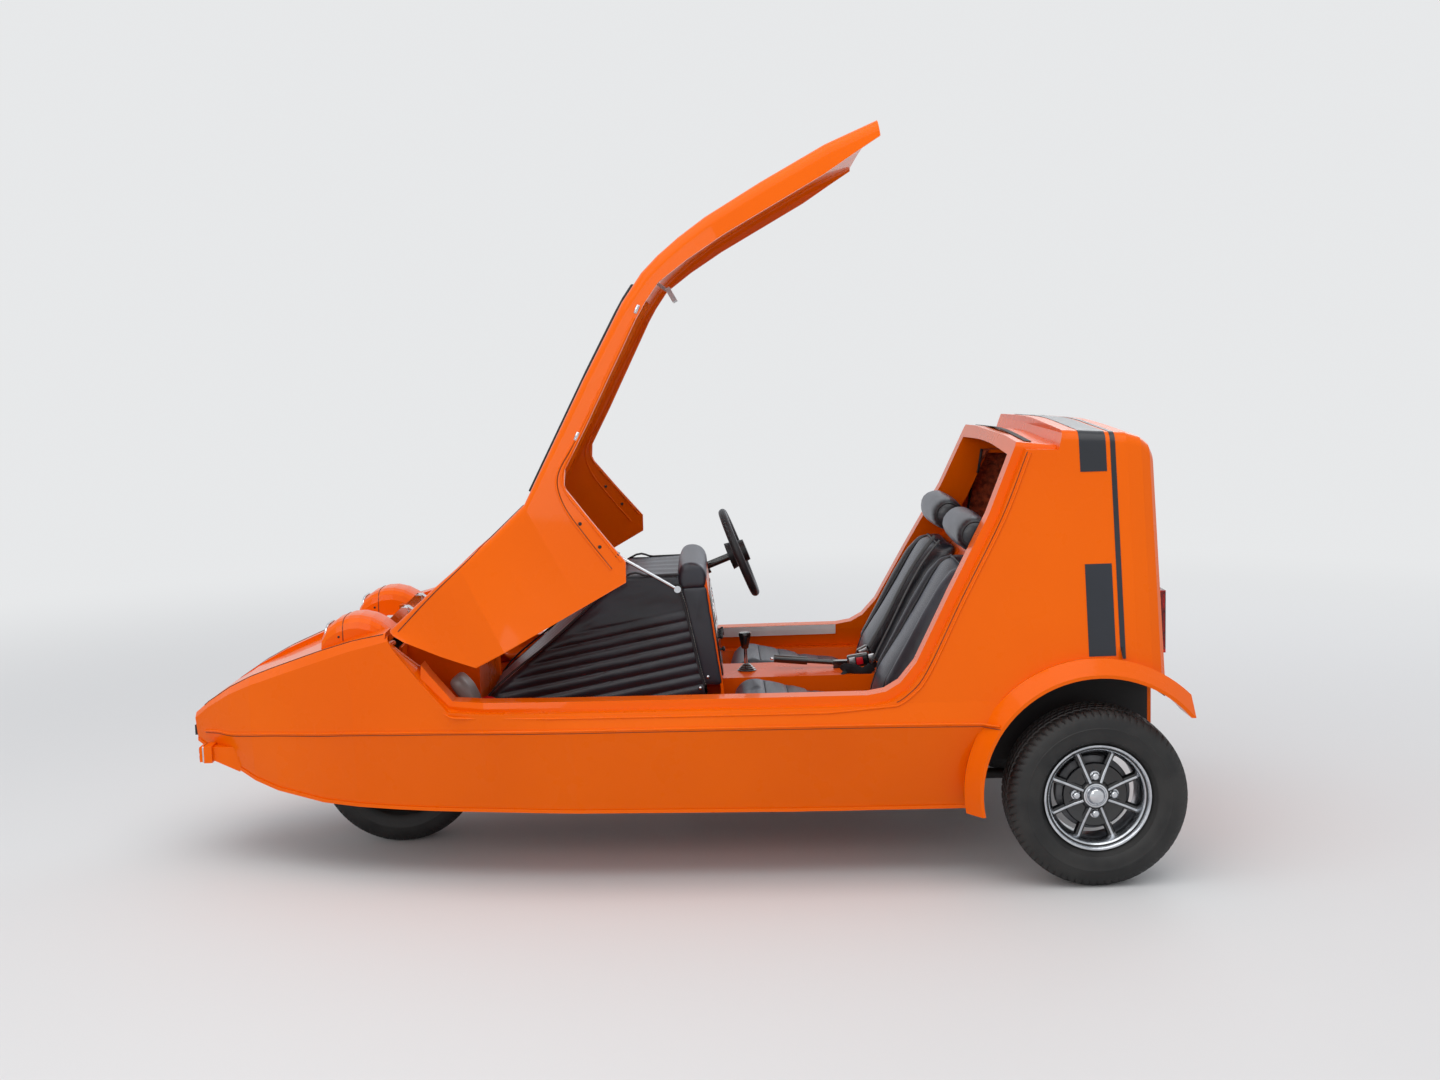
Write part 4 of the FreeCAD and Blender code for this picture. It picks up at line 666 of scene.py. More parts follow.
def tyre(body, cad_node, centre):
    """Cross-ply tyre: ribbed tread with cross cuts over the shoulder, and thin rings on its sides."""
    tread = [-TREAD_HALF + 2 * TREAD_HALF * i / 46 for i in range(47)]
    crown = [(x, 0.2410 - 0.0016 * (abs(x) / TREAD_HALF) ** 3 * 1.6) for x in tread]
    profile = TYRE_SIDE + crown[::-1] + [(-x, r) for x, r in TYRE_SIDE[::-1]]
    mesh = lathe(profile, centre, (0, 1, 0), TREAD_BLOCKS * 6, tread_radius)
    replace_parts(piece(cad_node + "_treaded", mesh, "tyre", 30, body), cad_node)


# Turned wheel parts. Columns: place across towards the face; radius.
RIM_PROFILE = mm(
    (50, 142.5), (55.5, 142.5), (56, 140), (54.5, 137), (48, 134.5), (45, 132.5), (44, 129), (38, 125.5),
    (24, 119.5), (16, 117), (-40, 117), (-48, 130), (-55, 140), (-55, 142.8), (-48, 142.8), (-48, 134),
    (-40, 123), (10, 123), (30, 127), (40, 130), (47, 137))
DISH_PROFILE = mm(
    (27, 17), (27, 32), (24, 38), (15, 42), (13, 64), (18, 76), (19, 84), (15, 87), (9, 87), (8, 40),
    (10, 17))
DRUM_PROFILE = mm(
    (-10, 20), (-10, 96), (-13, 100), (-18, 100), (-20, 96), (-25, 97), (-44, 97), (-44, 90), (-20, 90),
    (-20, 20))
CAP_PROFILE = mm(
    (20, 0.2), (20, 33), (26, 33.5), (30, 32.2), (31.2, 28.5), (29, 26.2), (29, 24.6), (34, 23.5), (42, 20.5),
    (45.5, 15), (46.8, 8), (47, 0.2))
VALVE_PROFILE = mm((0, 3), (12, 3), (13, 4.2), (24, 4.2), (25, 3.4), (26, 0.2), (0, 0.2))
NUT_PROFILE = mm((13, 13.5), (16, 13), (16.5, 10.8), (26, 10.8), (28.5, 8.5), (30, 5), (30.5, 0.8))
NUT_FLATS = (2, 3)
STUD_CIRCLE = 0.0508
SPOKES = 8
# Columns: radius; low and high place across.
BLACK_SPOKE = mm((40, 8, 23.5), (60, 6, 18.5), (90, 4, 16), (120, 4, 18))
BRIGHT_SPOKE = mm((36, 20, 29), (60, 14, 23.2), (90, 12, 20.6), (119.5, 12, 23.2))


def on_wheel(centre, side, across, radius, turn):
    """A point of a wheel: across towards its face, and round from the top."""
    out = Vector((math.sin(turn), 0, math.cos(turn)))
    return Vector(centre) + Vector((0, side * across, 0)) + out * radius


def spoke_bars(centre, side, half, sections):
    """Eight radial bars with chamfered edges."""
    bars = []
    for i in range(SPOKES):
        turn = 2 * math.pi * (i + 0.5) / SPOKES
        along = Vector((math.cos(turn), 0, -math.sin(turn)))
        rings = []
        for radius, low, high in sections:
            edge = ((-half, low), (-half * 0.72, high - 0.0006), (-half * 0.4, high))
            edge += tuple((-shift, across) for shift, across in edge[::-1])
            rings.append([on_wheel(centre, side, across, radius, turn) + along * shift
                          for shift, across in edge])
        bars.append(solid(rings))
    return join(*bars)


def wheel_nuts(centre, side):
    """Four domed hexagon nuts on their seats."""
    nuts = []
    for i in range(4):
        middle = on_wheel(centre, side, 0, STUD_CIRCLE, math.pi / 2 * i)
        rings = []
        for row, (across, radius) in enumerate(NUT_PROFILE):
            ring = []
            for turn in turns(18):
                flat = math.cos(math.pi / 6) / math.cos((turn % (math.pi / 3)) - math.pi / 6)
                r = radius * flat if row in NUT_FLATS else radius
                ring.append(middle + Vector((r * math.cos(turn), side * across, r * math.sin(turn))))
            rings.append(ring)
        nuts.append(solid(rings, (None, "on")))
    return join(*nuts)


def wheel(body, cad_node, centre, side):
    """Eight spoke wheel: bright rim, black dish with polished spoke edges, nuts, cap and brake drum."""
    axis = (0, side, 0)
    valve_at = on_wheel(centre, side, 0.036, 0.121, math.radians(28))
    made = [piece(cad_node + "_" + word, mesh, material, smooth, body) for word, mesh, material, smooth in (
        ("bright", lathe(RIM_PROFILE, centre, axis, 96), "polished", 50),
        ("dish", lathe(DISH_PROFILE, centre, axis, 96), "gloss_black", 40),
        ("webs", spoke_bars(centre, side, 0.0115, BLACK_SPOKE), "gloss_black", 40),
        ("spokes", spoke_bars(centre, side, 0.0040, BRIGHT_SPOKE), "polished", 40),
        ("drum", lathe(DRUM_PROFILE, centre, axis, 72), "cast", 40),
        ("cap", lathe(CAP_PROFILE, centre, axis, 64), "chrome", 40),
        ("nuts", wheel_nuts(centre, side), "chrome", 35),
        ("valve", lathe(VALVE_PROFILE, valve_at, axis, 16), "rubber", 40))]
    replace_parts(made[0], cad_node)


# Each wheel, and the side that its face looks to.
for where, side in (("front", 1), ("rear_left", 1), ("rear_right", -1)):
    hub = JOINTS[where + "_wheel_spin"]["pos_m"]
    tyre(where + "_wheel", "tyre_" + where, hub)
    wheel(where + "_wheel", "rim_" + where, hub, side)


# ---------------------------------------------------------------- engine cover

# Side outline of the cover, (x, z), from its lower rear corner over the top to its lower front corner.
COVER_REAR_X = -0.112
COVER_KNEE_Z = 0.466
COVER_BACK_TOP = (-0.050, 0.812)
COVER_FRONT_TOP = (0.116, 0.806)
COVER_FRONT_X = 0.523
COVER_NOSE_Z = 0.459
COVER_FOOT_Z = 0.262
COVER_HALF = 0.219
COVER_ROUND = 0.015
COVER_SIDE_TOP = 0.808
COVER_PIPING_Y = 0.2195
COVER_PIPING = mm((521, 300), (521, 459), (320, 631), (116, 803), (40, 807.5), (-46, 809))
RIB_PITCH = 0.0322
RIB_SLOPE = 0.187
RIB_TOP = 0.7075


def rib_relief(x, z):
    """How far the quilted side stands out at a point."""
    phase = (z + RIB_SLOPE * (x + 0.07) - RIB_TOP) / RIB_PITCH
    pillow = math.sin(math.pi * (phase - math.floor(phase))) ** 0.55
    fade = min(max((0.16 - phase) / 0.5, 0), 1)
    slack = noise.noise(Vector((x * 9, z * 14, 1.7))) * 0.0016
    slack += noise.noise(Vector((x * 26 + z * 30, z * 46, 4.1))) * 0.0007
    loose = (1 - fade) * (0.004 + 0.002 * math.sin(60 * z - 9 * x))
    return fade * (pillow * 0.0062 - 0.0012) + slack + loose


def cover_front(z):
    """Front edge of the cover's side at a height."""
    top_x, top_z = COVER_FRONT_TOP
    slope = (COVER_FRONT_X - top_x) / (top_z - COVER_NOSE_Z)
    return COVER_FRONT_X - max(z - COVER_NOSE_Z, 0) * slope


def cover_back(z):
    """Rear edge of the cover's side at a height."""
    top_x, top_z = COVER_BACK_TOP
    slope = (top_x - COVER_REAR_X) / (top_z - COVER_KNEE_Z)
    return COVER_REAR_X + max(z - COVER_KNEE_Z, 0) * slope


def rounding(edge):
    """How far a turned-in edge drops at a distance from it."""
    if edge >= COVER_ROUND:
        return 0.0
    return COVER_ROUND - math.sqrt(max(COVER_ROUND ** 2 - (COVER_ROUND - edge) ** 2, 0))


def cover_side(side):
    """Quilted side panel with a turned-in edge."""
    rows = []
    for i in range(191):
        z = COVER_FOOT_Z + (COVER_SIDE_TOP - COVER_FOOT_Z) * i / 190
        row = []
        for j in range(53):
            x = cover_back(z) + (cover_front(z) - cover_back(z)) * (j / 52)
            slope_gap = (cover_front(z) - x) * 0.65 if z > COVER_NOSE_Z else 1.0
            edge = min(slope_gap, COVER_SIDE_TOP - z, cover_front(z) - x + 0.001)
            calm = min(edge / (2 * COVER_ROUND), 1)
            row.append(Vector((x, side * (COVER_HALF - rounding(edge) + calm * rib_relief(x, z)), z)))
        rows.append(row)
    return sheet(rows)


def cover_top():
    """Top, front slope and front of the cover with a little sag."""
    path = [Vector(p) for p in ((COVER_REAR_X, COVER_KNEE_Z), COVER_BACK_TOP, COVER_FRONT_TOP,
                                (COVER_FRONT_X, COVER_NOSE_Z), (COVER_FRONT_X, COVER_FOOT_Z))]
    run = []
    for a, b in zip(path, path[1:]):
        count = max(2, round((b - a).length / 0.012))
        run += [a.lerp(b, k / count) for k in range(count)]
    run.append(path[-1])
    rows = []
    for i, point in enumerate(run):
        way = (run[min(i + 2, len(run) - 1)] - run[max(i - 2, 0)]).normalized()
        row = []
        for j in range(45):
            y = -COVER_HALF + 2 * COVER_HALF * j / 44
            edge = COVER_HALF - abs(y)
            sag = 0.0025 * noise.noise(Vector((point.x * 8, y * 7, point.y * 5)))
            sag = (sag + 0.0012 * math.sin(y * 70 + point.x * 9)) * min(edge / 0.06, 1)
            place = point - Vector((-way.y, way.x)) * (rounding(edge) + 0.001 - sag)
            row.append(Vector((place.x, y, place.y)))
        rows.append(row)
    return sheet(rows)


cover = piece("engine_cover_quilt", join(cover_side(1), cover_side(-1), cover_top()), "vinyl", 50)
face_outward(cover)
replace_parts(cover, "engine_cover")
for side, word in SIDES:
    rim = [(x, side * COVER_PIPING_Y, z) for x, z in COVER_PIPING]
    bar("engine_cover_piping_" + word, curve_through(rim, 5), 0.0032, "pad", 8)


# ---------------------------------------------------------------- dash pad and instruments

# Outlines (x, z) of the padded column and of the rolled hood over it, and the radii of their corners.
DASH_COLUMN = mm((-47.5, 775), (-110, 484), (-164, 484), (-124, 775))
DASH_HOOD = mm((-44.5, 762), (-122.5, 768), (-127.5, 804), (-114, 835), (-82, 845), (-54, 838), (-44, 812))
COLUMN_RADII = (0.004, 0.012, 0.006, 0.004)
HOOD_RADII = (0.012, 0.012, 0.016, 0.018, 0.018, 0.018, 0.016)
# Front edge of the column's side, (x, z).
PIPING = mm((-45, 766), (-57, 728), (-70, 668), (-85, 592), (-100, 522), (-110, 486))
# Turned stud and knob. Columns: place along the axis; radius.
STUD = mm((-2, 0), (-2, 5.2), (0.8, 5.5), (2.2, 4.4), (3.2, 2.4), (3.5, 0))
STUD_PLACES = mm((-98.5, 478.5), (-121.5, 510.5))
COLUMN_SIDE_Y = 0.2305
KNOB = mm((-1, 0), (-1, 4.5), (6, 3.8), (8, 6.8), (13, 7.4), (15.5, 6), (16, 0))
# Switches. Columns: place across; place down the fascia.
SWITCHES = mm((-150, 185), (-115, 185), (-80, 185), (45, 160), (85, 160), (125, 160), (80, 205))
DIALS = (("speedometer", -0.10, 0.052), ("fuel_gauge", 0.030, 0.029), ("heat_gauge", 0.110, 0.029))
# The fascia: its top edge, the way down it and the way out of it, towards the seats.
FASCIA_TOP = Vector((-0.1265, 0, 0.765))
RAKE = Vector((-0.040, 0, -0.291)).normalized()
FASCIA_OUT = Vector((RAKE.z, 0, -RAKE.x))


def dash_pads():
    """Padded column and rolled hood behind the engine cover."""
    run = outline_run(DASH_COLUMN, COLUMN_RADII, 0.009)
    pad("dash_pad", bolster(run, -0.2295, 0.2295, 0.009), 0.005, 0.002, 6, 0.8, "dash_panel")
    run = outline_run(DASH_HOOD, HOOD_RADII, 0.006)
    pad("dash_hood", bolster(run, -0.2325, 0.2325, 0.016), 0.005, 0.003, 6, 0.9)


def dash_trim(side, word):
    """Piping, stitches and studs along one side of the column."""
    edge = curve_through([(x, side * COLUMN_SIDE_Y, z) for x, z in PIPING], 8)
    bar("dash_piping_" + word, edge, 0.0030, "pad", 8)
    thread = [p + Vector((-0.006, side * 0.0006, -0.001)) for p in edge]
    piece("dash_stitches_" + word, stitches(thread, Vector((0, side, 0))), "thread", 60)
    studs = [lathe(STUD, (x, side * COLUMN_SIDE_Y, z), (0, side, 0), 20) for x, z in STUD_PLACES]
    piece("dash_studs_" + word, join(*studs), "chrome", 50)


def stitches(path, normal):
    """Row of short threads along a run of points."""
    spacing, length, width = 0.0075, 0.0045, 0.0012
    threads = []
    walked, goal = 0.0, spacing / 2
    for a, b in zip(path, path[1:]):
        span = (b - a).length
        while walked + span >= goal:
            middle = a.lerp(b, (goal - walked) / span)
            way = (b - a).normalized()
            rise = normal * width * 0.5
            threads.append(tube([middle - way * length / 2, middle - way * length / 4 + rise,
                                 middle + way * length / 4 + rise, middle + way * length / 2],
                                [width * 0.3, width * 0.5, width * 0.5, width * 0.3], 5))
            goal += spacing
        walked += span
    return join(*threads)


def on_fascia(y, down, lift):
    """Place on the fascia, raised off it."""
    return FASCIA_TOP + RAKE * down + Vector((0, y, 0)) + FASCIA_OUT * lift


def dial_way(degrees):
    """Way from a dial's middle at an angle from its top."""
    turn = math.radians(degrees)
    return Vector((0, 1, 0)) * math.sin(turn) - RAKE * math.cos(turn)


def dial(name, y, radius):
    """Dial with a bright bezel, marks, a needle and its glass."""
    centre = on_fascia(y, 0.095, 0.0042)
    inner = radius - 0.0065
    bezel = [(0, radius), (0.0016, radius), (0.0032, radius - 0.002), (0.0032, radius - 0.005),
             (0.0018, inner), (0, inner)]
    piece(name + "_bezel", lathe(bezel, centre, FASCIA_OUT, 48), "chrome")
    face = [(0.0, 0.0), (0.0, radius - 0.006), (0.0010, radius - 0.006), (0.0008, 0.0)]
    piece(name + "_face", lathe(face, centre, FASCIA_OUT, 40), "gloss_black", 30)
    marks = []
    start = centre + FASCIA_OUT * 0.0014
    for k in range(13):
        way = dial_way(-130 + 260 * k / 12)
        marks.append(tube([start + way * (radius - 0.015), start + way * (radius - 0.009)], 0.0008, 5))
    way, start = dial_way(-118), centre + FASCIA_OUT * 0.0021
    marks.append(tube([start - way * 0.006, start + way * (radius - 0.016)], [0.0014, 0.0006], 6))
    marks.append(lathe(mm((0.5, 0), (0.5, 4), (2.6, 3.5), (2.9, 0)), centre, FASCIA_OUT, 16))
    piece(name + "_marks", join(*marks), "thread")
    glass = [(0.0029, 0.0), (0.0029, inner), (0.0034, radius - 0.0068), (0.0042, radius * 0.5), (0.0044, 0.0)]
    piece(name + "_glass", lathe(glass, centre, FASCIA_OUT, 40), "lens")


dash_pads()
for side, word in SIDES:
    dash_trim(side, word)
plate = soft_box((-0.0005, -0.19, -0.118), (0.0045, 0.19, 0.118), 0.004)
plate = moved(plate, frame_of(FASCIA_OUT, Vector((0, 1, 0)), -RAKE, on_fascia(0, 0.145, 0.0005)))
piece("dash_fascia", plate, "gloss_black")
for name, y, radius in DIALS:
    dial(name, y, radius)
knobs = [lathe(KNOB, on_fascia(y, down, 0.004), FASCIA_OUT, 20) for y, down in SWITCHES]
piece("dash_switches", join(*knobs), "pad", 50)


# ---------------------------------------------------------------- seats

SEAT_Y = 0.265
BACK_LOW = Vector((-0.6498, 0, 0.352))
BACK_UP = Vector((-0.4569, 0, 0.8895)).normalized()
BACK_OUT = Vector((BACK_UP.z, 0, -BACK_UP.x))
BACK_LENGTH = 0.535
BACK_SEAM_Y = 0.108
BACK_EDGE_Y = 0.187150
# Columns: share of the back's height; thickness at the middle; extra thickness of the side rolls; half width.
BACK_ROWS = [(0.00, 0.062, 0.004, 0.170), (0.10, 0.086, 0.010, 0.190), (0.25, 0.098, 0.015, 0.196),
             (0.45, 0.086, 0.024, 0.196), (0.65, 0.078, 0.030, 0.196), (0.82, 0.074, 0.026, 0.194),
             (0.93, 0.068, 0.014, 0.186), (1.00, 0.050, 0.004, 0.166)]
CUSHION_LOW = 0.3410
# Outline (x, height over its foot) of a cushion, and the radii of its corners.
CUSHION = mm(
    (-200, 12), (-197, 118), (-232, 146), (-330, 128), (-440, 100), (-552, 86), (-592, 22), (-560, 0))
CUSHION_RADII = (0.012, 0.03, 0.03, 0.05, 0.05, 0.03, 0.02, 0.01)
CUSHION_EDGES = (0.120, 0.461)
# Columns: x of a cross seam; height over the cushion's foot.
CUSHION_SEAMS = mm((-285, 139), (-350, 126), (-415, 110), (-480, 98))
# The headrest's radius falls off towards its ends by these powers; its piping lies at this share of its half.
HEADREST_POWERS = (13, 0.42)
HEADREST_PIPING = 0.945


def row_value(share, column):
    """One measure of the seat back at a share of its height."""
    return blend_at([(row[0], row[column]) for row in BACK_ROWS], share)


def back_depth(share, y, half):
    """Depth of the seat back's front face: a dished middle between two rolls, thinner towards its sides."""
    roll = max(0.0, (abs(y) / half - 0.52) / 0.48)
    swell = row_value(share, 2) * math.sin(math.pi * min(roll, 1)) ** 0.8 if roll > 0 else 0
    centre = 0.006 * math.cos(math.pi * y / (half * 1.04)) if abs(y) < half * 0.52 else 0
    edge = 1 - (abs(y) / half) ** 3.4
    return (row_value(share, 1) + swell + centre) * (0.18 + 0.82 * max(edge, 0) ** 0.5)


def on_back(side, share, y, depth=None):
    """Point at a depth of the seat back, or on its front face."""
    if depth is None:
        depth = back_depth(share, y, row_value(share, 3))
    return BACK_LOW + BACK_UP * (BACK_LENGTH * share) + BACK_OUT * depth + Vector((0, side * SEAT_Y + y, 0))


def seat_back_form(side):
    """Closed form of one seat back, standing on the bulkhead."""
    rings = []
    for i in range(47):
        share = i / 46
        half = row_value(share, 3)
        taper = 0.45 + 0.55 * math.sqrt(max(min(share / 0.04, (1 - share) / 0.05, 1), 0))
        places = [half * math.sin(math.pi / 2 * (2 * j / 40 - 1)) for j in range(41)]
        front = [on_back(side, share, y, max(back_depth(share, y, half) * taper, 0.012)) for y in places]
        rings.append(front + [on_back(side, share, y, 0.003) for y in places[::-1]])
    return solid(rings, ("on", "back"))


def surface_pipe(made, name, points, radius, sink=0.3):
    """Piping that follows a finished pad's surface."""
    tree = BVHTree.FromObject(made, bpy.context.evaluated_depsgraph_get())
    run = []
    for point in points:
        place, normal = tree.find_nearest(point)[:2]
        run.append(place + normal * (radius * (1 - sink)))
    inner = [(a + b * 2 + c) / 4 for a, b, c in zip(run, run[1:], run[2:])]
    bar(name, [run[0]] + inner + [run[-1]], radius, "pad", 8)


def press_seams(made, lines, depth):
    """Draws a pad's surface in along sewn lines."""
    width, reach = 0.016, 0.07
    runs = [pair for line in lines for pair in zip(line, line[1:])]
    for vert in made.data.vertices:
        nearest = 9.0
        for a, b in runs:
            if max(abs(vert.co[i] - a[i]) for i in range(3)) > reach:
                continue
            way = b - a
            share = min(max((vert.co - a).dot(way) / way.length_squared, 0), 1)
            nearest = min(nearest, (vert.co - (a + way * share)).length)
        if nearest < width:
            vert.co -= vert.normal * depth * (1 - nearest / width) ** 1.5


def seat_back(side, word):
    """Padded back with two long seams and piping."""
    mesh = seat_back_form(side)
    made = pad("seat_back_pad_" + word, mesh, 0.0065, 0.008, 4, 0.7, "seat_back_" + word, pressure=3.0)
    lines = [[on_back(side, k / 24, y) for k in range(1, 24)] for y in (-BACK_SEAM_Y, BACK_SEAM_Y)]
    press_seams(made, lines, 0.007)
    for k, line in enumerate(lines):
        surface_pipe(made, "seat_back_piping_%s_%d" % (word, k + 1), line, 0.0032)
    shares = [0.04 + 0.92 * k / 30 for k in range(31)]
    run = [on_back(side, share, BACK_EDGE_Y) for share in shares]
    run += [on_back(side, 0.965, 0.17 - 0.34 * k / 14) for k in range(1, 14)]
    run += [on_back(side, share, -BACK_EDGE_Y) for share in shares[::-1]]
    surface_pipe(made, "seat_back_edge_" + word, run, 0.0034, 0.2)


def seat_base(side, word):
    """Padded cushion, higher at its front, with cross seams."""
    run = outline_run([(x, CUSHION_LOW + z) for x, z in CUSHION], CUSHION_RADII, 0.010)
    low, high = sorted(side * y for y in CUSHION_EDGES)

    def hold(place):
        return min(max((place.z - CUSHION_LOW - 0.02) / 0.06, 0), 1)

    made = pad("seat_cushion_" + word, bolster(run, low, high, 0.032, 0.002), 0.0065, 0.006, 4, 0.7,
               "seat_base_" + word, pressure=3.0, hold=hold)
    lines = []
    for x, z in CUSHION_SEAMS:
        lines.append([Vector((x, low + 0.05 + (high - low - 0.10) * k / 20, CUSHION_LOW + z))
                      for k in range(21)])
    press_seams(made, lines, 0.008)
    for k, line in enumerate(lines):
        surface_pipe(made, "seat_cushion_seam_%s_%d" % (word, k + 1), line, 0.0022, 0.6)


def headrest(side, word):
    """Rolled bolster with gathered ends and a piped edge at each."""
    low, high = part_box("headrest_" + word)
    middle = (low + high) / 2
    half = (high.y - low.y) / 2
    radius = (high.x - low.x) / 2 - 0.003
    end_power, round_power = HEADREST_POWERS
    profile = []
    for k in range(65):
        along = -half * math.cos(math.pi * k / 64)
        share = min(abs(along) / half, 1)
        reach = radius * (1 - share ** end_power) ** round_power - 0.003 * share ** 2
        profile.append((along, max(reach, 0.0004)))

    def soft(turn, along, r):
        lump = noise.noise(Vector((math.cos(turn) * 1.6, along * 11, math.sin(turn) * 1.6 + 3 * side)))
        tuck = 0.0010 * math.sin(19 * turn) * max(0, 1 - abs(abs(along) / half - 0.86) / 0.08)
        return max(r + 0.0022 * lump + tuck, 0) if r > 0.004 else r

    made = piece("headrest_pad_" + word, lathe(profile, middle, (0, 1, 0), 64, soft), "vinyl", 60)
    face_outward(made)
    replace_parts(made, "headrest_" + word)
    reach = radius * (1 - HEADREST_PIPING ** end_power) ** round_power - 0.0022
    for end in (-1, 1):
        ring = []
        for turn in turns(48):
            out = Vector((math.cos(turn) * reach, end * half * HEADREST_PIPING, math.sin(turn) * reach))
            ring.append(middle + out)
        bar("headrest_piping_%s_%s" % (word, "in" if end * side < 0 else "out"), ring, 0.0026, "pad", 8, True)


for side, word in SIDES:
    seat_back(side, word)
    seat_base(side, word)
    headrest(side, word)


# ---------------------------------------------------------------- body skin: stripes, creases, seals


def tree_of(*names):
    """Surface of some CAD nodes at rest, for finding places on it."""
    meshes = [([v.co.copy() for v in NODES[name].data.vertices],
               [tuple(p.vertices) for p in NODES[name].data.polygons]) for name in names]
    return BVHTree.FromPolygons(*join(*meshes))


BODY = tree_of("upper_body", "nose_deck", "lower_hull", "canopy_shell")
REAR = tree_of("upper_body")
CANOPY = tree_of("canopy_shell")
COWLS = tree_of("headlamp_cowls")
# How far out the rays from beside the car start.
BESIDE_Y = 1.2


def cast(tree, start, way, lift=0.0):
    """Place where a ray meets a surface, raised off it."""
    place, normal = tree.ray_cast(Vector(start), Vector(way).normalized())[:2]
    if place is None:
        return None
    if normal.dot(Vector(way)) > 0:
        normal = -normal
    return place + normal * lift


def casts(tree, rays, lift=0.0):
    """Places where rays, each a start and a way, meet a surface."""
    places = [cast(tree, start, way, lift) for start, way in rays]
    return [place for place in places if place is not None]


def from_side(side, x, z):
    """Ray from beside the car, square to its length."""
    return (x, side * BESIDE_Y, z), (0, -side, 0)


def screw(place, normal, radius):
    """Small domed screw head with a dimple."""
    dome = [(-0.0020, 0.0), (-0.0020, radius), (0.0004, radius), (0.0016, radius * 0.78),
            (0.0022, radius * 0.42), (0.0016, 0.0)]
    return lathe(dome, place, normal, 14)


# Tail section over which the stripes are laid: the flank's top, and where the roof's round corner is centred.
FLANK_TOP = 1.150
ROOF_HALF = 0.445
# Places of the stripes along the car.
BROAD_STRIPE = [-1.133 - 0.072 * k / 5 for k in range(6)]
THIN_STRIPE = (-1.2165, -1.2235, -1.2305)
# Line along the flank where the two mouldings meet, (x, z).
SWAGE = mm(
    (1345, 381), (1300, 384.8), (1256, 382.5), (1185, 389.5), (1110, 397.5), (966, 409.5), (860, 420.5),
    (745, 428.5), (656, 435.5), (578, 440.5), (482, 445.5), (361, 447.5), (240, 449.5), (-60, 450.5),
    (-400, 450), (-700, 447.5), (-885, 444))
# Edge of the opening, (x, z): down its front corner, along the sill, and up its rear curve.
OPENING_FRONT = [(0.742 - 0.150 * k / 10, 0.676 - 0.176 * k / 10) for k in range(11)]
OPENING_FRONT += mm((585, 493.5), (574, 488.5))
OPENING_SILL = [(0.560 - 0.05 * k, 0.4865) for k in range(21)]
OPENING_REAR = mm(
    (-540, 486.5), (-610, 496), (-662, 525), (-712, 584), (-812, 772), (-926, 978), (-1002, 1150))
# Joint of the nose deck. Columns: x; half width.
NOSE_SEAM = mm(
    (765, 437), (860, 401), (966, 361), (1110, 290), (1185, 255.5), (1256, 216.5), (1330, 180), (1345, 172))
COWL_MIDDLE = Vector((0.895, 0.263, 0.655))
# Lining of a tail flank, and how far its front edge slants back.
LINING_FOOT, LINING_HEIGHT = 0.660, 0.440
LINING_FRONT, LINING_LENGTH = -0.962, 0.225
LINING_SLANT = 0.055


def up_flank(low, high):
    """Rays at the tail's left flank from low to high. Each: start (y, z), way (y, z)."""
    steps = max(2, round((high - low) / 0.03))
    return [((1.0, low + (high - low) * k / steps), (-1.0, 0.0)) for k in range(steps + 1)]


def up_and_over(low):
    """Rays round the tail's section from one flank over the roof to the other."""
    rays = up_flank(low, FLANK_TOP)
    for k in range(1, 15):
        turn = math.pi / 2 * k / 15
        way = (-math.cos(turn), -math.sin(turn))
        rays.append(((ROOF_HALF - way[0] * 0.4, FLANK_TOP - way[1] * 0.4), way))
    back = [((-start[0], start[1]), (-way[0], way[1])) for start, way in reversed(rays)]
    roof = [((ROOF_HALF - 2 * ROOF_HALF * k / 18, 1.6), (0.0, -1.0)) for k in range(19)]
    return rays + roof + back


def stripe(name, places, rays):
    """Film laid on the tail along a run of rays, between two places along the car."""
    rows = [[cast(REAR, (x, *start), (0, *way), 0.0011) for x in places] for start, way in rays]
    piece(name, sheet([row for row in rows if None not in row]), "stripe", 60)


def tail_stripes():
    """Two broad blocks a side, joined over the roof, and a thin line beside them."""
    stripe("stripe_roof", BROAD_STRIPE, up_and_over(1.096))
    for side, word in SIDES:
        rays = [((side * y, z), (side * way, rise)) for (y, z), (way, rise) in up_flank(0.614, 0.854)]
        stripe("stripe_block_" + word, BROAD_STRIPE, rays)
    stripe("stripe_line", THIN_STRIPE, up_and_over(0.606))


def swage(side, word):
    """Rib where the two mouldings meet, and below it a dark line of painted shadow in their joint."""
    path = curve_through([(x, 0, z) for x, z in SWAGE], 4)
    rib = [cast(BODY, *from_side(side, p.x, p.z + 0.004), 0.0004) for p in path]
    joint = [cast(BODY, *from_side(side, p.x, p.z - 0.003)) for p in path]
    both = [pair for pair in zip(rib, joint) if None not in pair]
    bar("swage_rib_" + word, [pair[0] for pair in both], 0.0042, "skin", 12, flat=0.8)
    # dark line of painted shadow along the joint under the rib
    bar("swage_painted_shadow_" + word, [pair[1] for pair in both], 0.0010, "joint", 6)


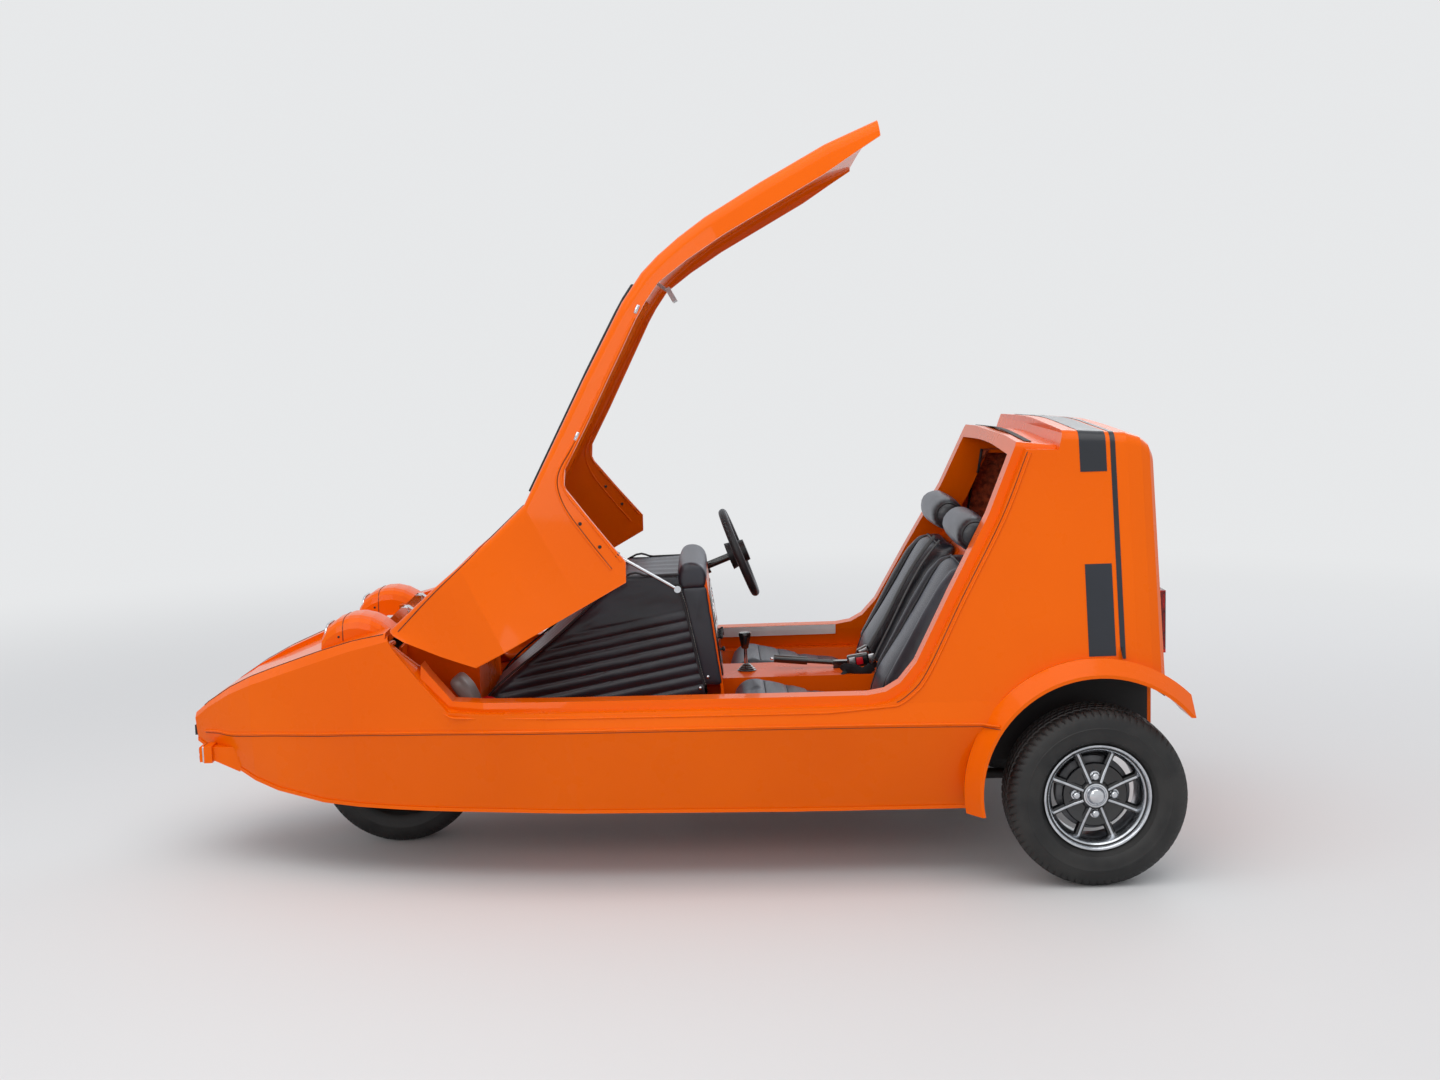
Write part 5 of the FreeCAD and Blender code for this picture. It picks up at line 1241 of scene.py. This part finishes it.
def opening_edge(side, word):
    """Rolled edge of the opening, and a dark line of painted shade in the groove below it from the sill back.
    """
    rear = curve_through([(x, 0, z) for x, z in OPENING_REAR], 5)[6:]
    path = OPENING_FRONT + OPENING_SILL + [(p.x, p.z) for p in rear]
    run = casts(BODY, [from_side(side, x, z) for x, z in path], 0.0002)
    # the front corner is evened out three times, because the skin bends there
    for again in range(3):
        for before, here, after in zip(run, run[1:12], run[2:]):
            here.y = (before.y + here.y + after.y) / 3
    bar("opening_bead_" + word, run, 0.0034, "skin", flat=0.8)
    rays = []
    for before, place, after in zip(run[26:], run[28:], run[30:] + [run[-1]] * 2):
        way = (after - before).normalized()
        rays.append(from_side(side, place.x + way.z * 0.009, place.z - way.x * 0.009))
    # dark line of painted shade in the groove below the bead
    bar("opening_painted_shade_" + word, casts(BODY, rays), 0.0012, "joint", 6)


def nose_seam(side, word):
    """Joint of the nose deck with a flank, drawn as a dark line of painted shade."""
    rays = []
    for k in range(40):
        x = 1.345 - 0.580 * k / 39
        rays.append(((x, side * blend_at(NOSE_SEAM, x), 1.5), (0, 0, -1)))
    bar("nose_seam_" + word, casts(BODY, rays, 0.0002), 0.0016, "joint", 6)


def cowl_seam(side, word):
    """Dark line of painted shade round a headlamp cowl behind its mouth, with a screw at each foot."""
    middle = Vector((COWL_MIDDLE.x, side * COWL_MIDDLE.y, COWL_MIDDLE.z))
    rays = []
    for k in range(25):
        turn = math.pi * (k / 24 - 0.5)
        way = Vector((0, -side * math.sin(turn), -math.cos(turn)))
        rays.append((middle - way * 0.3, way))
    over = casts(COWLS, rays)
    bar("cowl_seam_" + word, over, 0.0014, "joint", 6)
    feet = []
    for place in (over[2], over[-3]):
        out = Vector((0, math.copysign(1, place.y - middle.y), 0))
        feet.append(screw(place + Vector((0.012, 0, 0)), out, 0.0034))
    piece("cowl_screws_" + word, join(*feet), "rubber", 50)


def luggage_trim(side, word):
    """Carpeted lining on the inside of a tail flank, with its bound front edge."""
    rows = []
    for i in range(19):
        height = LINING_HEIGHT * i / 18
        z = LINING_FOOT + height
        slant = LINING_SLANT * height / LINING_HEIGHT
        row = []
        for j in range(15):
            x = LINING_FRONT - slant - (LINING_LENGTH - slant) * j / 14
            skin = cast(REAR, (x, 0, z), (0, side, 0))
            y = abs(skin.y) if skin is not None and abs(skin.y) > 0.3 else 0.46
            fuzz = 0.0006 * noise.noise(Vector((x * 90, side, z * 90)))
            row.append(Vector((x, side * (y - 0.0065 + fuzz), z)))
        rows.append(row)
    made = piece("luggage_trim_" + word, sheet(rows), "carpet", 60)
    modify(made, "SOLIDIFY", thickness=0.0026, offset=0)
    front = [row[0] + Vector((0.001, -side * 0.001, 0)) for row in rows]
    bar("luggage_binding_" + word, front, 0.0045, "pad", 8)


tail_stripes()
for make in (luggage_trim, swage, opening_edge, nose_seam, cowl_seam):
    for side, word in SIDES:
        make(side, word)
lip = casts(BODY, [((1.6, -0.108 + 0.216 * k / 29, 0.3975), (-1, 0, 0)) for k in range(30)])
bar("nose_lip", lip, 0.0030, "skin", 8)


# ---------------------------------------------------------------- front corner of the opening

# Columns: x, z of the gutter's outer edge; width inboard; way its inner lip lies back; drop of that lip;
# bulge.
GUTTER = mm(
    (752, 678, 6, 6, 6, 1), (728, 648, 40, 22, 18, 6), (696, 613, 72, 36, 26, 10), (660, 572, 98, 50, 32, 14),
    (622, 535, 112, 56, 36, 16), (582, 502, 112, 50, 38, 16), (530, 495, 98, 36, 36, 14),
    (460, 494.5, 78, 18, 32, 12), (360, 494.5, 54, 6, 26, 8), (240, 494.5, 34, 0, 20, 6))


def nose_return(side, word):
    """Rolled return at the top corner of the opening, where the canopy leaves the nose."""
    rings = []
    for i in range(9):
        across = i / 8
        centre = Vector((0.7560 - 0.006 * across, side * (0.4360 - 0.060 * across), 0.6640 - 0.002 * across))
        size = 1 - 0.25 * across
        rings.append([centre + Vector((0.0110 * math.cos(turn), 0, 0.0100 * math.sin(turn))) * size
                      for turn in turns(14)])
    face_outward(piece("nose_return_" + word, solid(rings, ("on", "on")), "skin", 60))


def gutter(side, word):
    """Moulded gutter inside the front corner of the opening, from the cowl down to the sill."""
    rows = []
    for i in range(45):
        share = (len(GUTTER) - 1) * i / 44
        k = min(int(share), len(GUTTER) - 2)
        part = share - k
        part = part * part * (3 - 2 * part) * 0.35 + part * 0.65
        x, z, wide, back, drop, bulge = [a + (b - a) * part for a, b in zip(GUTTER[k], GUTTER[k + 1])]
        skin = cast(BODY, *from_side(side, x, z - 0.016))
        start = (abs(skin.y) if skin is not None else 0.5) - 0.0155
        row = []
        for j in range(13):
            across = j / 12
            lift = bulge * math.sin(math.pi * across) - drop * across ** 1.8
            roll = 0.006 * math.exp(-((across - 0.93) / 0.07) ** 2)
            height = z - 0.006 + lift + roll
            row.append(Vector((x - back * across ** 1.3, side * (start - wide * across), height)))
        rows.append(row)
    made = piece("opening_gutter_" + word, sheet(rows), "skin", 60)
    modify(made, "SOLIDIFY", thickness=0.0022, offset=-side)


def heater():
    """Grey moulded heater box at the front of the left footwell, with its red tap."""
    centre = Vector((0.552, 0.372, 0.522))
    lean = Matrix.Rotation(math.radians(38), 3, "Y")
    rings = []
    for i in range(23):
        rise = math.pi * i / 22
        wide = max(math.sin(rise), 0.0) ** 0.4
        level = bent(math.cos(rise), 0.6)
        deep = 0.024 * wide * (1.0 - 0.45 * max(-level, 0))
        ring = [(deep * bent(math.cos(turn), 0.6), 0.050 * wide * bent(math.sin(turn), 0.6), 0.050 * level)
                for turn in turns(36)]
        rings.append([centre + lean @ Vector(place) for place in ring])
    made = piece("heater_box_left", solid(rings, (None, None)), "grey", 60)
    face_outward(made)
    tap = mm((512, 340, 487), (500, 344, 491), (486, 348, 489), (474, 350, 484))
    bar("heater_tap", tap, 0.0062, "button", 12)


for side, word in SIDES:
    nose_return(side, word)
    gutter(side, word)
heater()


# ---------------------------------------------------------------- canopy trim

# The screen's corners, seen from above on the shut canopy, taken a little outwards.
SCREEN_CORNERS = mm((210.5, 503), (210.5, -503), (-302.5, -452), (-302.5, 452))
# Screws, clips and the fold behind the front edge: places (x, z), or (x, 0, z), on the shut canopy.
FLANGE_SCREWS = mm((133, 697), (118, 619), (90, 576.5))
CLIPS = mm((24, 899), (-283, 1105))
FOLD = mm((728, 0, 690), (594, 0, 728.5), (447, 0, 763.3), (326, 0, 795.8), (246, 0, 813))
# Edge of a side panel and pillar. Columns: x and z, shut; distance of the rib in from that edge.
PANEL_EDGE = mm(
    (83, 560, 40), (93, 620, 40), (103, 682, 39), (113, 740, 36), (119, 780, 28), (115, 815, 20),
    (94, 842, 15), (50, 870, 12), (-15, 912, 10), (-140, 997.5, 8), (-267, 1084, 7))


def opened(x, y, z):
    """Place on the parked canopy of a point given for the shut one."""
    return OPENED @ Vector((x, y, z))


def on_canopy(x, y, z, way, lift):
    """Place on the parked canopy's skin, found along a way given for the shut one."""
    start = opened(x, y, z) - OPENED.to_3x3() @ Vector(way) * 0.35
    return cast(CANOPY, start, OPENED.to_3x3() @ Vector(way), lift)


def screen_gasket():
    """Rubber round the screen."""
    rim = []
    for corner, following in zip(SCREEN_CORNERS, SCREEN_CORNERS[1:] + SCREEN_CORNERS[:1]):
        for k in range(14):
            x, y = [a + (b - a) * k / 14 for a, b in zip(corner, following)]
            rim.append(on_canopy(x, y, 1.0, (0, 0, -1), 0.0012))
    rim = [place for place in rim if place is not None]
    bar("screen_gasket", rim, 0.0058, "rubber", 8, True, body="canopy")


def canopy_trim(side, word):
    """Two clips on a pillar, and screws along the flange of a side panel."""
    out = Vector((0, side, 0))
    clips = []
    for x, z in CLIPS:
        centre = on_canopy(x, side, z, -out, 0.0015)
        along = (opened(x - 0.1, side, z + 0.073) - opened(x, side, z)).normalized()
        block = soft_box((-0.0120, -0.0045, -0.0020), (0.0120, 0.0045, 0.0020), 0.0015)
        clips.append(moved(block, frame_of(along, along.cross(out).normalized(), out, centre)))
        for way in (1, -1):
            clips.append(screw(centre + along * (0.007 * way) + out * 0.0020, out, 0.0026))
    piece("canopy_clips_" + word, join(*clips), "chrome", 50, "canopy")
    heads = []
    for x, z in FLANGE_SCREWS:
        for start, way in ((side * 0.30, side), (side * 0.90, -side)):
            place = cast(CANOPY, opened(x, start, z), (0, way, 0))
            if place is not None and 0.50 < abs(place.y) < 0.64:
                heads.append(screw(place, (0, -way, 0), 0.0050))
    piece("canopy_screws_" + word, join(*heads), "rubber", 50, "canopy")


def front_step(side, word):
    """Fine joint that runs up each flank of the canopy, behind its folded front edge, drawn as a dark line of
    painted shade.
    """
    run = casts(CANOPY, [(opened(p.x, side, p.z), (0, -side, 0)) for p in curve_through(FOLD, 8)])
    run = [place for place in run if abs(place.y) > 0.40]
    bar("canopy_step_" + word, run, 0.0017, "joint", 6, body="canopy")


def panel_run(path, side, start_y, inset):
    """Places on a side panel seen from start_y. inset: how far in from its edge; None is the rib's own line,
    and less than 0 is short of that line."""
    rays = []
    for i, here in enumerate(path):
        before, after = path[max(i - 4, 0)], path[min(i + 4, len(path) - 1)]
        way = Vector((after.x - before.x, 0, after.y - before.y)).normalized()
        far = here.z if inset is None else inset
        far = here.z + far if far < 0 else far
        rays.append((opened(here.x + way.z * far, side * start_y, here.y - way.x * far),
                     (0, -side if start_y > 0.5 else side, 0)))
    return [place for place in casts(CANOPY, rays) if 0.42 < abs(place.y) < 0.66]


def side_flange(side, word):
    """Rib, and a dark line of painted shade in the joint beside it, that set off the screwed band of a side
    panel, and the panel's rolled edge.
    """
    path = curve_through(PANEL_EDGE, 6)
    for end, start_y in (("", 1.0), ("_inside", 0.30)):
        rib, rim, joint = [panel_run(path, side, start_y, inset) for inset in (None, 0.0045, -0.0030)]
        bar("panel_rib_" + word + end, rib, 0.0030, "skin", 8, body="canopy")
        bar("panel_rim_" + word + end, rim, 0.0034, "skin", 8, body="canopy")
        if not end:
            bar("panel_painted_shade_" + word, joint, 0.0016, "joint", 6, body="canopy")


screen_gasket()
for make in (canopy_trim, front_step, side_flange):
    for side, word in SIDES:
        make(side, word)


# ---------------------------------------------------------------- lamps

HEADLAMP_Y, HEADLAMP_Z = 0.263, 0.6720
OBLONG_POWER = 3.2
# Oblong rings of a headlamp. Columns: place along the car; half width; half height.
BOWL = mm((3.4, 64, 32), (1.8, 50, 22), (0.8, 24, 9))
LENS = mm((4.6, 63.5, 31.5), (6.8, 58, 26.5), (8.8, 36, 16), (9.4, 14, 6))
# Boxes of a front lamp. Columns: name; material; x, low and high; half width; z, low and high; rounding.
FRONT_LAMP = [("lens_amber", "amber", 1.3385, 1.3505, 0.0235, 0.3075, 0.3270, 0.004),
              ("lens_clear", "lens", 1.3385, 1.3505, 0.0235, 0.3285, 0.3480, 0.004),
              ("lamp_frame", "chrome", 1.3310, 1.3400, 0.0275, 0.3035, 0.3520, 0.003)]
# Cells of a rear lamp's lens. Columns: place; colour; z, low and high.
REAR_CELLS = [("top", "amber", 0.7150, 0.7640), ("middle", "red", 0.6560, 0.7130),
              ("low", "red", 0.6070, 0.6540)]
# The lid's lock. Columns: place along its axis; radius.
LOCK_RIM = mm((-3, 0), (-3, 17), (1.2, 17.2), (4.2, 15), (5, 12.2), (3, 10.5), (3.4, 0))
LOCK_BARREL = mm((2, 0), (2, 9), (5.6, 9), (6.4, 7.8), (6.6, 0))


def oblong(centre, x, half_y, half_z):
    """Rounded oblong run, square to the car's length."""
    power = 2 / OBLONG_POWER
    return [centre + Vector((x, half_y * bent(math.cos(turn), power), half_z * bent(math.sin(turn), power)))
            for turn in turns(64)]


def headlamp_detail(side, word):
    """Bright rim, reflector and ribbed lens of a rounded oblong lamp in a cowl's mouth."""
    centre = Vector((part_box("headlamps")[1].x + 0.0004, side * HEADLAMP_Y, HEADLAMP_Z))
    bar("headlamp_bezel_" + word, oblong(centre, 0.004, 0.0655, 0.0335), 0.0038, "chrome", closed=True)
    for name, rows, material, smooth in (("bowl_", BOWL, "polished", 50), ("lens_", LENS, "lens", 60)):
        mesh = solid([oblong(centre, *row) for row in rows], (None, "on"))
        piece("headlamp_" + name + word, mesh, material, smooth)
    ribs = []
    for k in range(-5, 6):
        y = 0.0105 * k
        half = 0.027 * (1 - (abs(y) / 0.066) ** OBLONG_POWER) ** (1 / OBLONG_POWER)
        run = []
        for share in (-1, -0.6, -0.2, 0.2, 0.6, 1):
            z = share * half
            run.append(centre + Vector((0.0094 - 0.0042 * (z / 0.031) ** 2 - 0.0022 * (y / 0.06) ** 2, y, z)))
        ribs.append(tube(run, 0.0009, 6))
    piece("headlamp_ribs_" + word, join(*ribs), "lens", 60)


def front_lamp_detail(side, word):
    """Moulded lens with a two-colour face on the lamp under the nose."""
    y = side * 0.218
    for name, material, x_low, x_high, half, low, high, radius in FRONT_LAMP:
        box = soft_box((x_low, y - half, low), (x_high, y + half, high), radius)
        piece("front_" + name + "_" + word, box, material)


def rear_lamp_detail(side, word):
    """Three-part lens with ribs on a bright base, at a back corner."""
    y = side * 0.487
    base = soft_box((-1.3460, y - 0.0365, 0.5990), (-1.3405, y + 0.0365, 0.7710), 0.004)
    piece("rear_lamp_base_" + word, base, "polished")
    for place, color, low, high in REAR_CELLS:
        cell = soft_box((-1.3615, y - 0.031, low), (-1.3450, y + 0.031, high), 0.005)
        piece("rear_lens_%s_%s" % (word, place), cell, color)
    ribs = []
    for k in range(14):
        z = 0.612 + 0.0112 * k
        ribs.append(tube([(-1.3618, y - 0.027, z), (-1.3618, y, z), (-1.3618, y + 0.027, z)], 0.0011, 6))
    piece("rear_lens_ribs_" + word, join(*ribs), "red", 50)
    heads = [screw((-1.3620, y, z), (-1, 0, 0), 0.0035) for z in (0.6075, 0.7635)]
    piece("rear_lamp_screws_" + word, join(*heads), "chrome", 50)


for side, word in SIDES:
    headlamp_detail(side, word)
    front_lamp_detail(side, word)
    rear_lamp_detail(side, word)
lid_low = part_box("boot_lid")[0]
lock = cast(tree_of("boot_lid"), (lid_low.x - 0.3, 0, lid_low.z + 0.055), (1, 0, 0))
piece("lid_lock_rim", lathe(LOCK_RIM, lock, (-1, 0, 0), 40), "chrome", body="tail_lid")
piece("lid_lock_barrel", lathe(LOCK_BARREL, lock, (-1, 0, 0), 32), "brushed", body="tail_lid")


# ---------------------------------------------------------------- controls: hand wheel, levers

TUNNEL_TOP = 0.482
# Turned parts. Columns: place along the axis; radius.
GAITER = mm(
    (0, 28), (2.5, 28.4), (4.5, 24), (7, 24.4), (10, 19), (12, 19.4), (15, 14), (17, 14.2), (20, 9.5),
    (21.5, 6), (21.5, 0), (0, 0))
GEAR_KNOB = mm(
    (-30, 0), (-30, 8.5), (-27, 11), (-14, 13.5), (4, 17.2), (14, 18.6), (18.5, 17.2), (19, 12), (19, 0))
GEAR_STICK = mm((18, 0), (18, 5.2), (70, 5), (70, 0))
BRAKE_BUTTON = mm((0, 0), (0, 4.5), (7, 4.5), (8.5, 3), (8.5, 0))
BRAKE_WAY = (1, 0, 0.10)
# The hand wheel's grip: half its thickness, depth and count of the finger scallops.
GRIP = 0.0128
SCALLOP_DEPTH, SCALLOPS = 0.0011, 24


def hand_wheel():
    """Grip with finger scallops, and a pale seam round its inside."""
    joint = JOINTS["hand_wheel_turn"]
    axis = Vector(joint["axis"]).normalized()
    axis = -axis if axis.x > 0 else axis
    centre = Vector(joint["pos_m"])
    arms = [v.co - centre for v in NODES["steering_wheel"].data.vertices]
    reach = [(arm - axis * arm.dot(axis)).length for arm in arms]
    radius = max(reach) - 0.013
    plane = [arm.dot(axis) for arm, r in zip(arms, reach) if r > max(reach) - 0.004]
    up = (Vector((0, 0, 1)) - axis * axis.z).normalized()
    place = frame_of(up, axis.cross(up), axis, centre + axis * (sum(plane) / len(plane)))
    rim = []
    for turn in turns(96):
        out = Vector((math.cos(turn), math.sin(turn), 0))
        grip = GRIP - SCALLOP_DEPTH * max(0, math.cos(turn * SCALLOPS)) ** 3
        for bend in turns(14):
            across = Vector((0, 0, grip * 0.94 * math.sin(bend)))
            rim.append(place @ (out * (radius + grip * math.cos(bend)) + across))
    piece("hand_wheel_grip", (rim, sheet_faces(96, 14, True, True)), "pad", 60, "hand_wheel")
    inner = radius - GRIP + 0.0004
    seam = [place @ Vector((math.cos(turn) * inner, math.sin(turn) * inner, 0)) for turn in turns(96)]
    bar("hand_wheel_seam", seam, 0.0009, "thread", 6, True, body="hand_wheel")


def levers():
    """Tapered gear knob, gaiter folds and the handbrake's ribbed grip."""
    knob = lathe(GEAR_KNOB, (-0.234, 0, TUNNEL_TOP + 0.0965), (0, 0, 1), 36)
    gaiter = lathe(GAITER, (-0.238, 0, TUNNEL_TOP), (0, 0, 1), 40)
    holder = piece("gear_knob", join(knob, gaiter), "gloss_black")
    piece("gear_stick", lathe(GEAR_STICK, (-0.2365, 0, TUNNEL_TOP), (0.03, 0, 1), 20), "chrome", 50)
    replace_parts(holder, "gear_lever")
    grip = mm((-50, 0), (-50, 9))
    for k in range(14):
        grip += mm((-46 + 6.6 * k, 11.8), (-42.7 + 6.6 * k, 10.2))
    grip += mm((48, 11.2), (50, 8), (50, 0))
    piece("handbrake_grip", lathe(grip, (-0.370, 0, 0.5100), BRAKE_WAY, 28), "pad")
    piece("handbrake_button", lathe(BRAKE_BUTTON, (-0.318, 0, 0.5152), BRAKE_WAY, 20), "chrome", 50)


hand_wheel()
levers()


# ---------------------------------------------------------------- belts

# Columns: part of a buckle; low and high corner; rounding; cuts; material.
BUCKLE = [("housing", (-0.034, -0.013, -0.019), (0.030, 0.013, 0.019), 0.006, 3, "gloss_black"),
          ("button", (-0.016, 0.0115, -0.011), (0.004, 0.0145, 0.011), 0.002, 2, "button"),
          ("plate", (0.006, 0.0115, -0.014), (0.026, 0.0150, 0.014), 0.002, 2, "brushed"),
          ("tongue", (-0.052, -0.004, -0.013), (-0.030, 0.004, 0.013), 0.003, 2, "brushed")]
WEB_EDGE = ((-1, -0.5), (-1, 0.5), (-0.96, 1), (0, 0.8), (0.96, 1), (1, 0.5), (1, -0.5), (0.96, -1),
            (0, -0.8), (-0.96, -1))
WEB_HALF_THICK = 0.0009


def web(name, points, width, across):
    """Flat webbing along a run, with its width along a given way."""
    path = curve_through(points, 8)
    rings = []
    for i, point in enumerate(path):
        way = (path[min(i + 1, len(path) - 1)] - path[max(i - 1, 0)]).normalized()
        wide = (Vector(across) - way * Vector(across).dot(way)).normalized()
        thick = way.cross(wide)
        rings.append([point + wide * (a * width / 2) + thick * (b * WEB_HALF_THICK) for a, b in WEB_EDGE])
    piece(name, solid(rings), "webbing", 50)


def buckle(side, place, turn):
    """Belt buckle: dark housing, red push button, bright plate and tongue."""
    lean = Matrix.Translation(place) @ Matrix.Rotation(math.radians(turn), 4, "Y")
    for part, low, high, radius, cuts, material in BUCKLE:
        block = moved(soft_box(low, high, radius, cuts), lean)
        piece("belt_buckle_" + side + "_" + part, block, material, 50)


# Three-point belts lying slack at the inner foot of each seat.
buckle("left", (-0.566, 0.060, 0.514), 8)
web("belt_stalk_left", mm((-612, 58, 486), (-606, 58, 498), (-598, 59, 510), (-590, 60, 514)), 0.038,
    (0, 0, 1))
web("belt_lap_left", mm((-556, 86, 490), (-540, 90, 478), (-520, 96, 486), (-526, 104, 500), (-552, 106, 497),
                        (-574, 108, 488.5), (-592, 110, 494), (-604, 112, 505)), 0.030, (0, 0.25, 1))
web("belt_shoulder_left", mm((-604, 92, 508), (-632, 82, 560), (-664, 76, 620), (-700, 70, 690),
                             (-736, 64, 756), (-772, 58, 812), (-816, 54, 866)), 0.042, (0, 1, 0.1))
buckle("right", (-0.604, -0.086, 0.500), -64)
web("belt_stalk_right", mm((-640, -82, 470), (-632, -83, 480), (-622, -84, 488)), 0.030, (0, 0, 1))
web("belt_shoulder_right", mm((-606, -92, 508), (-634, -82, 562), (-668, -76, 622), (-702, -70, 690),
                              (-738, -64, 756), (-774, -58, 812), (-816, -54, 866)), 0.042, (0, 1, -0.1))


# ---------------------------------------------------------------- end

bpy.context.scene.view_settings.view_transform = "Standard"
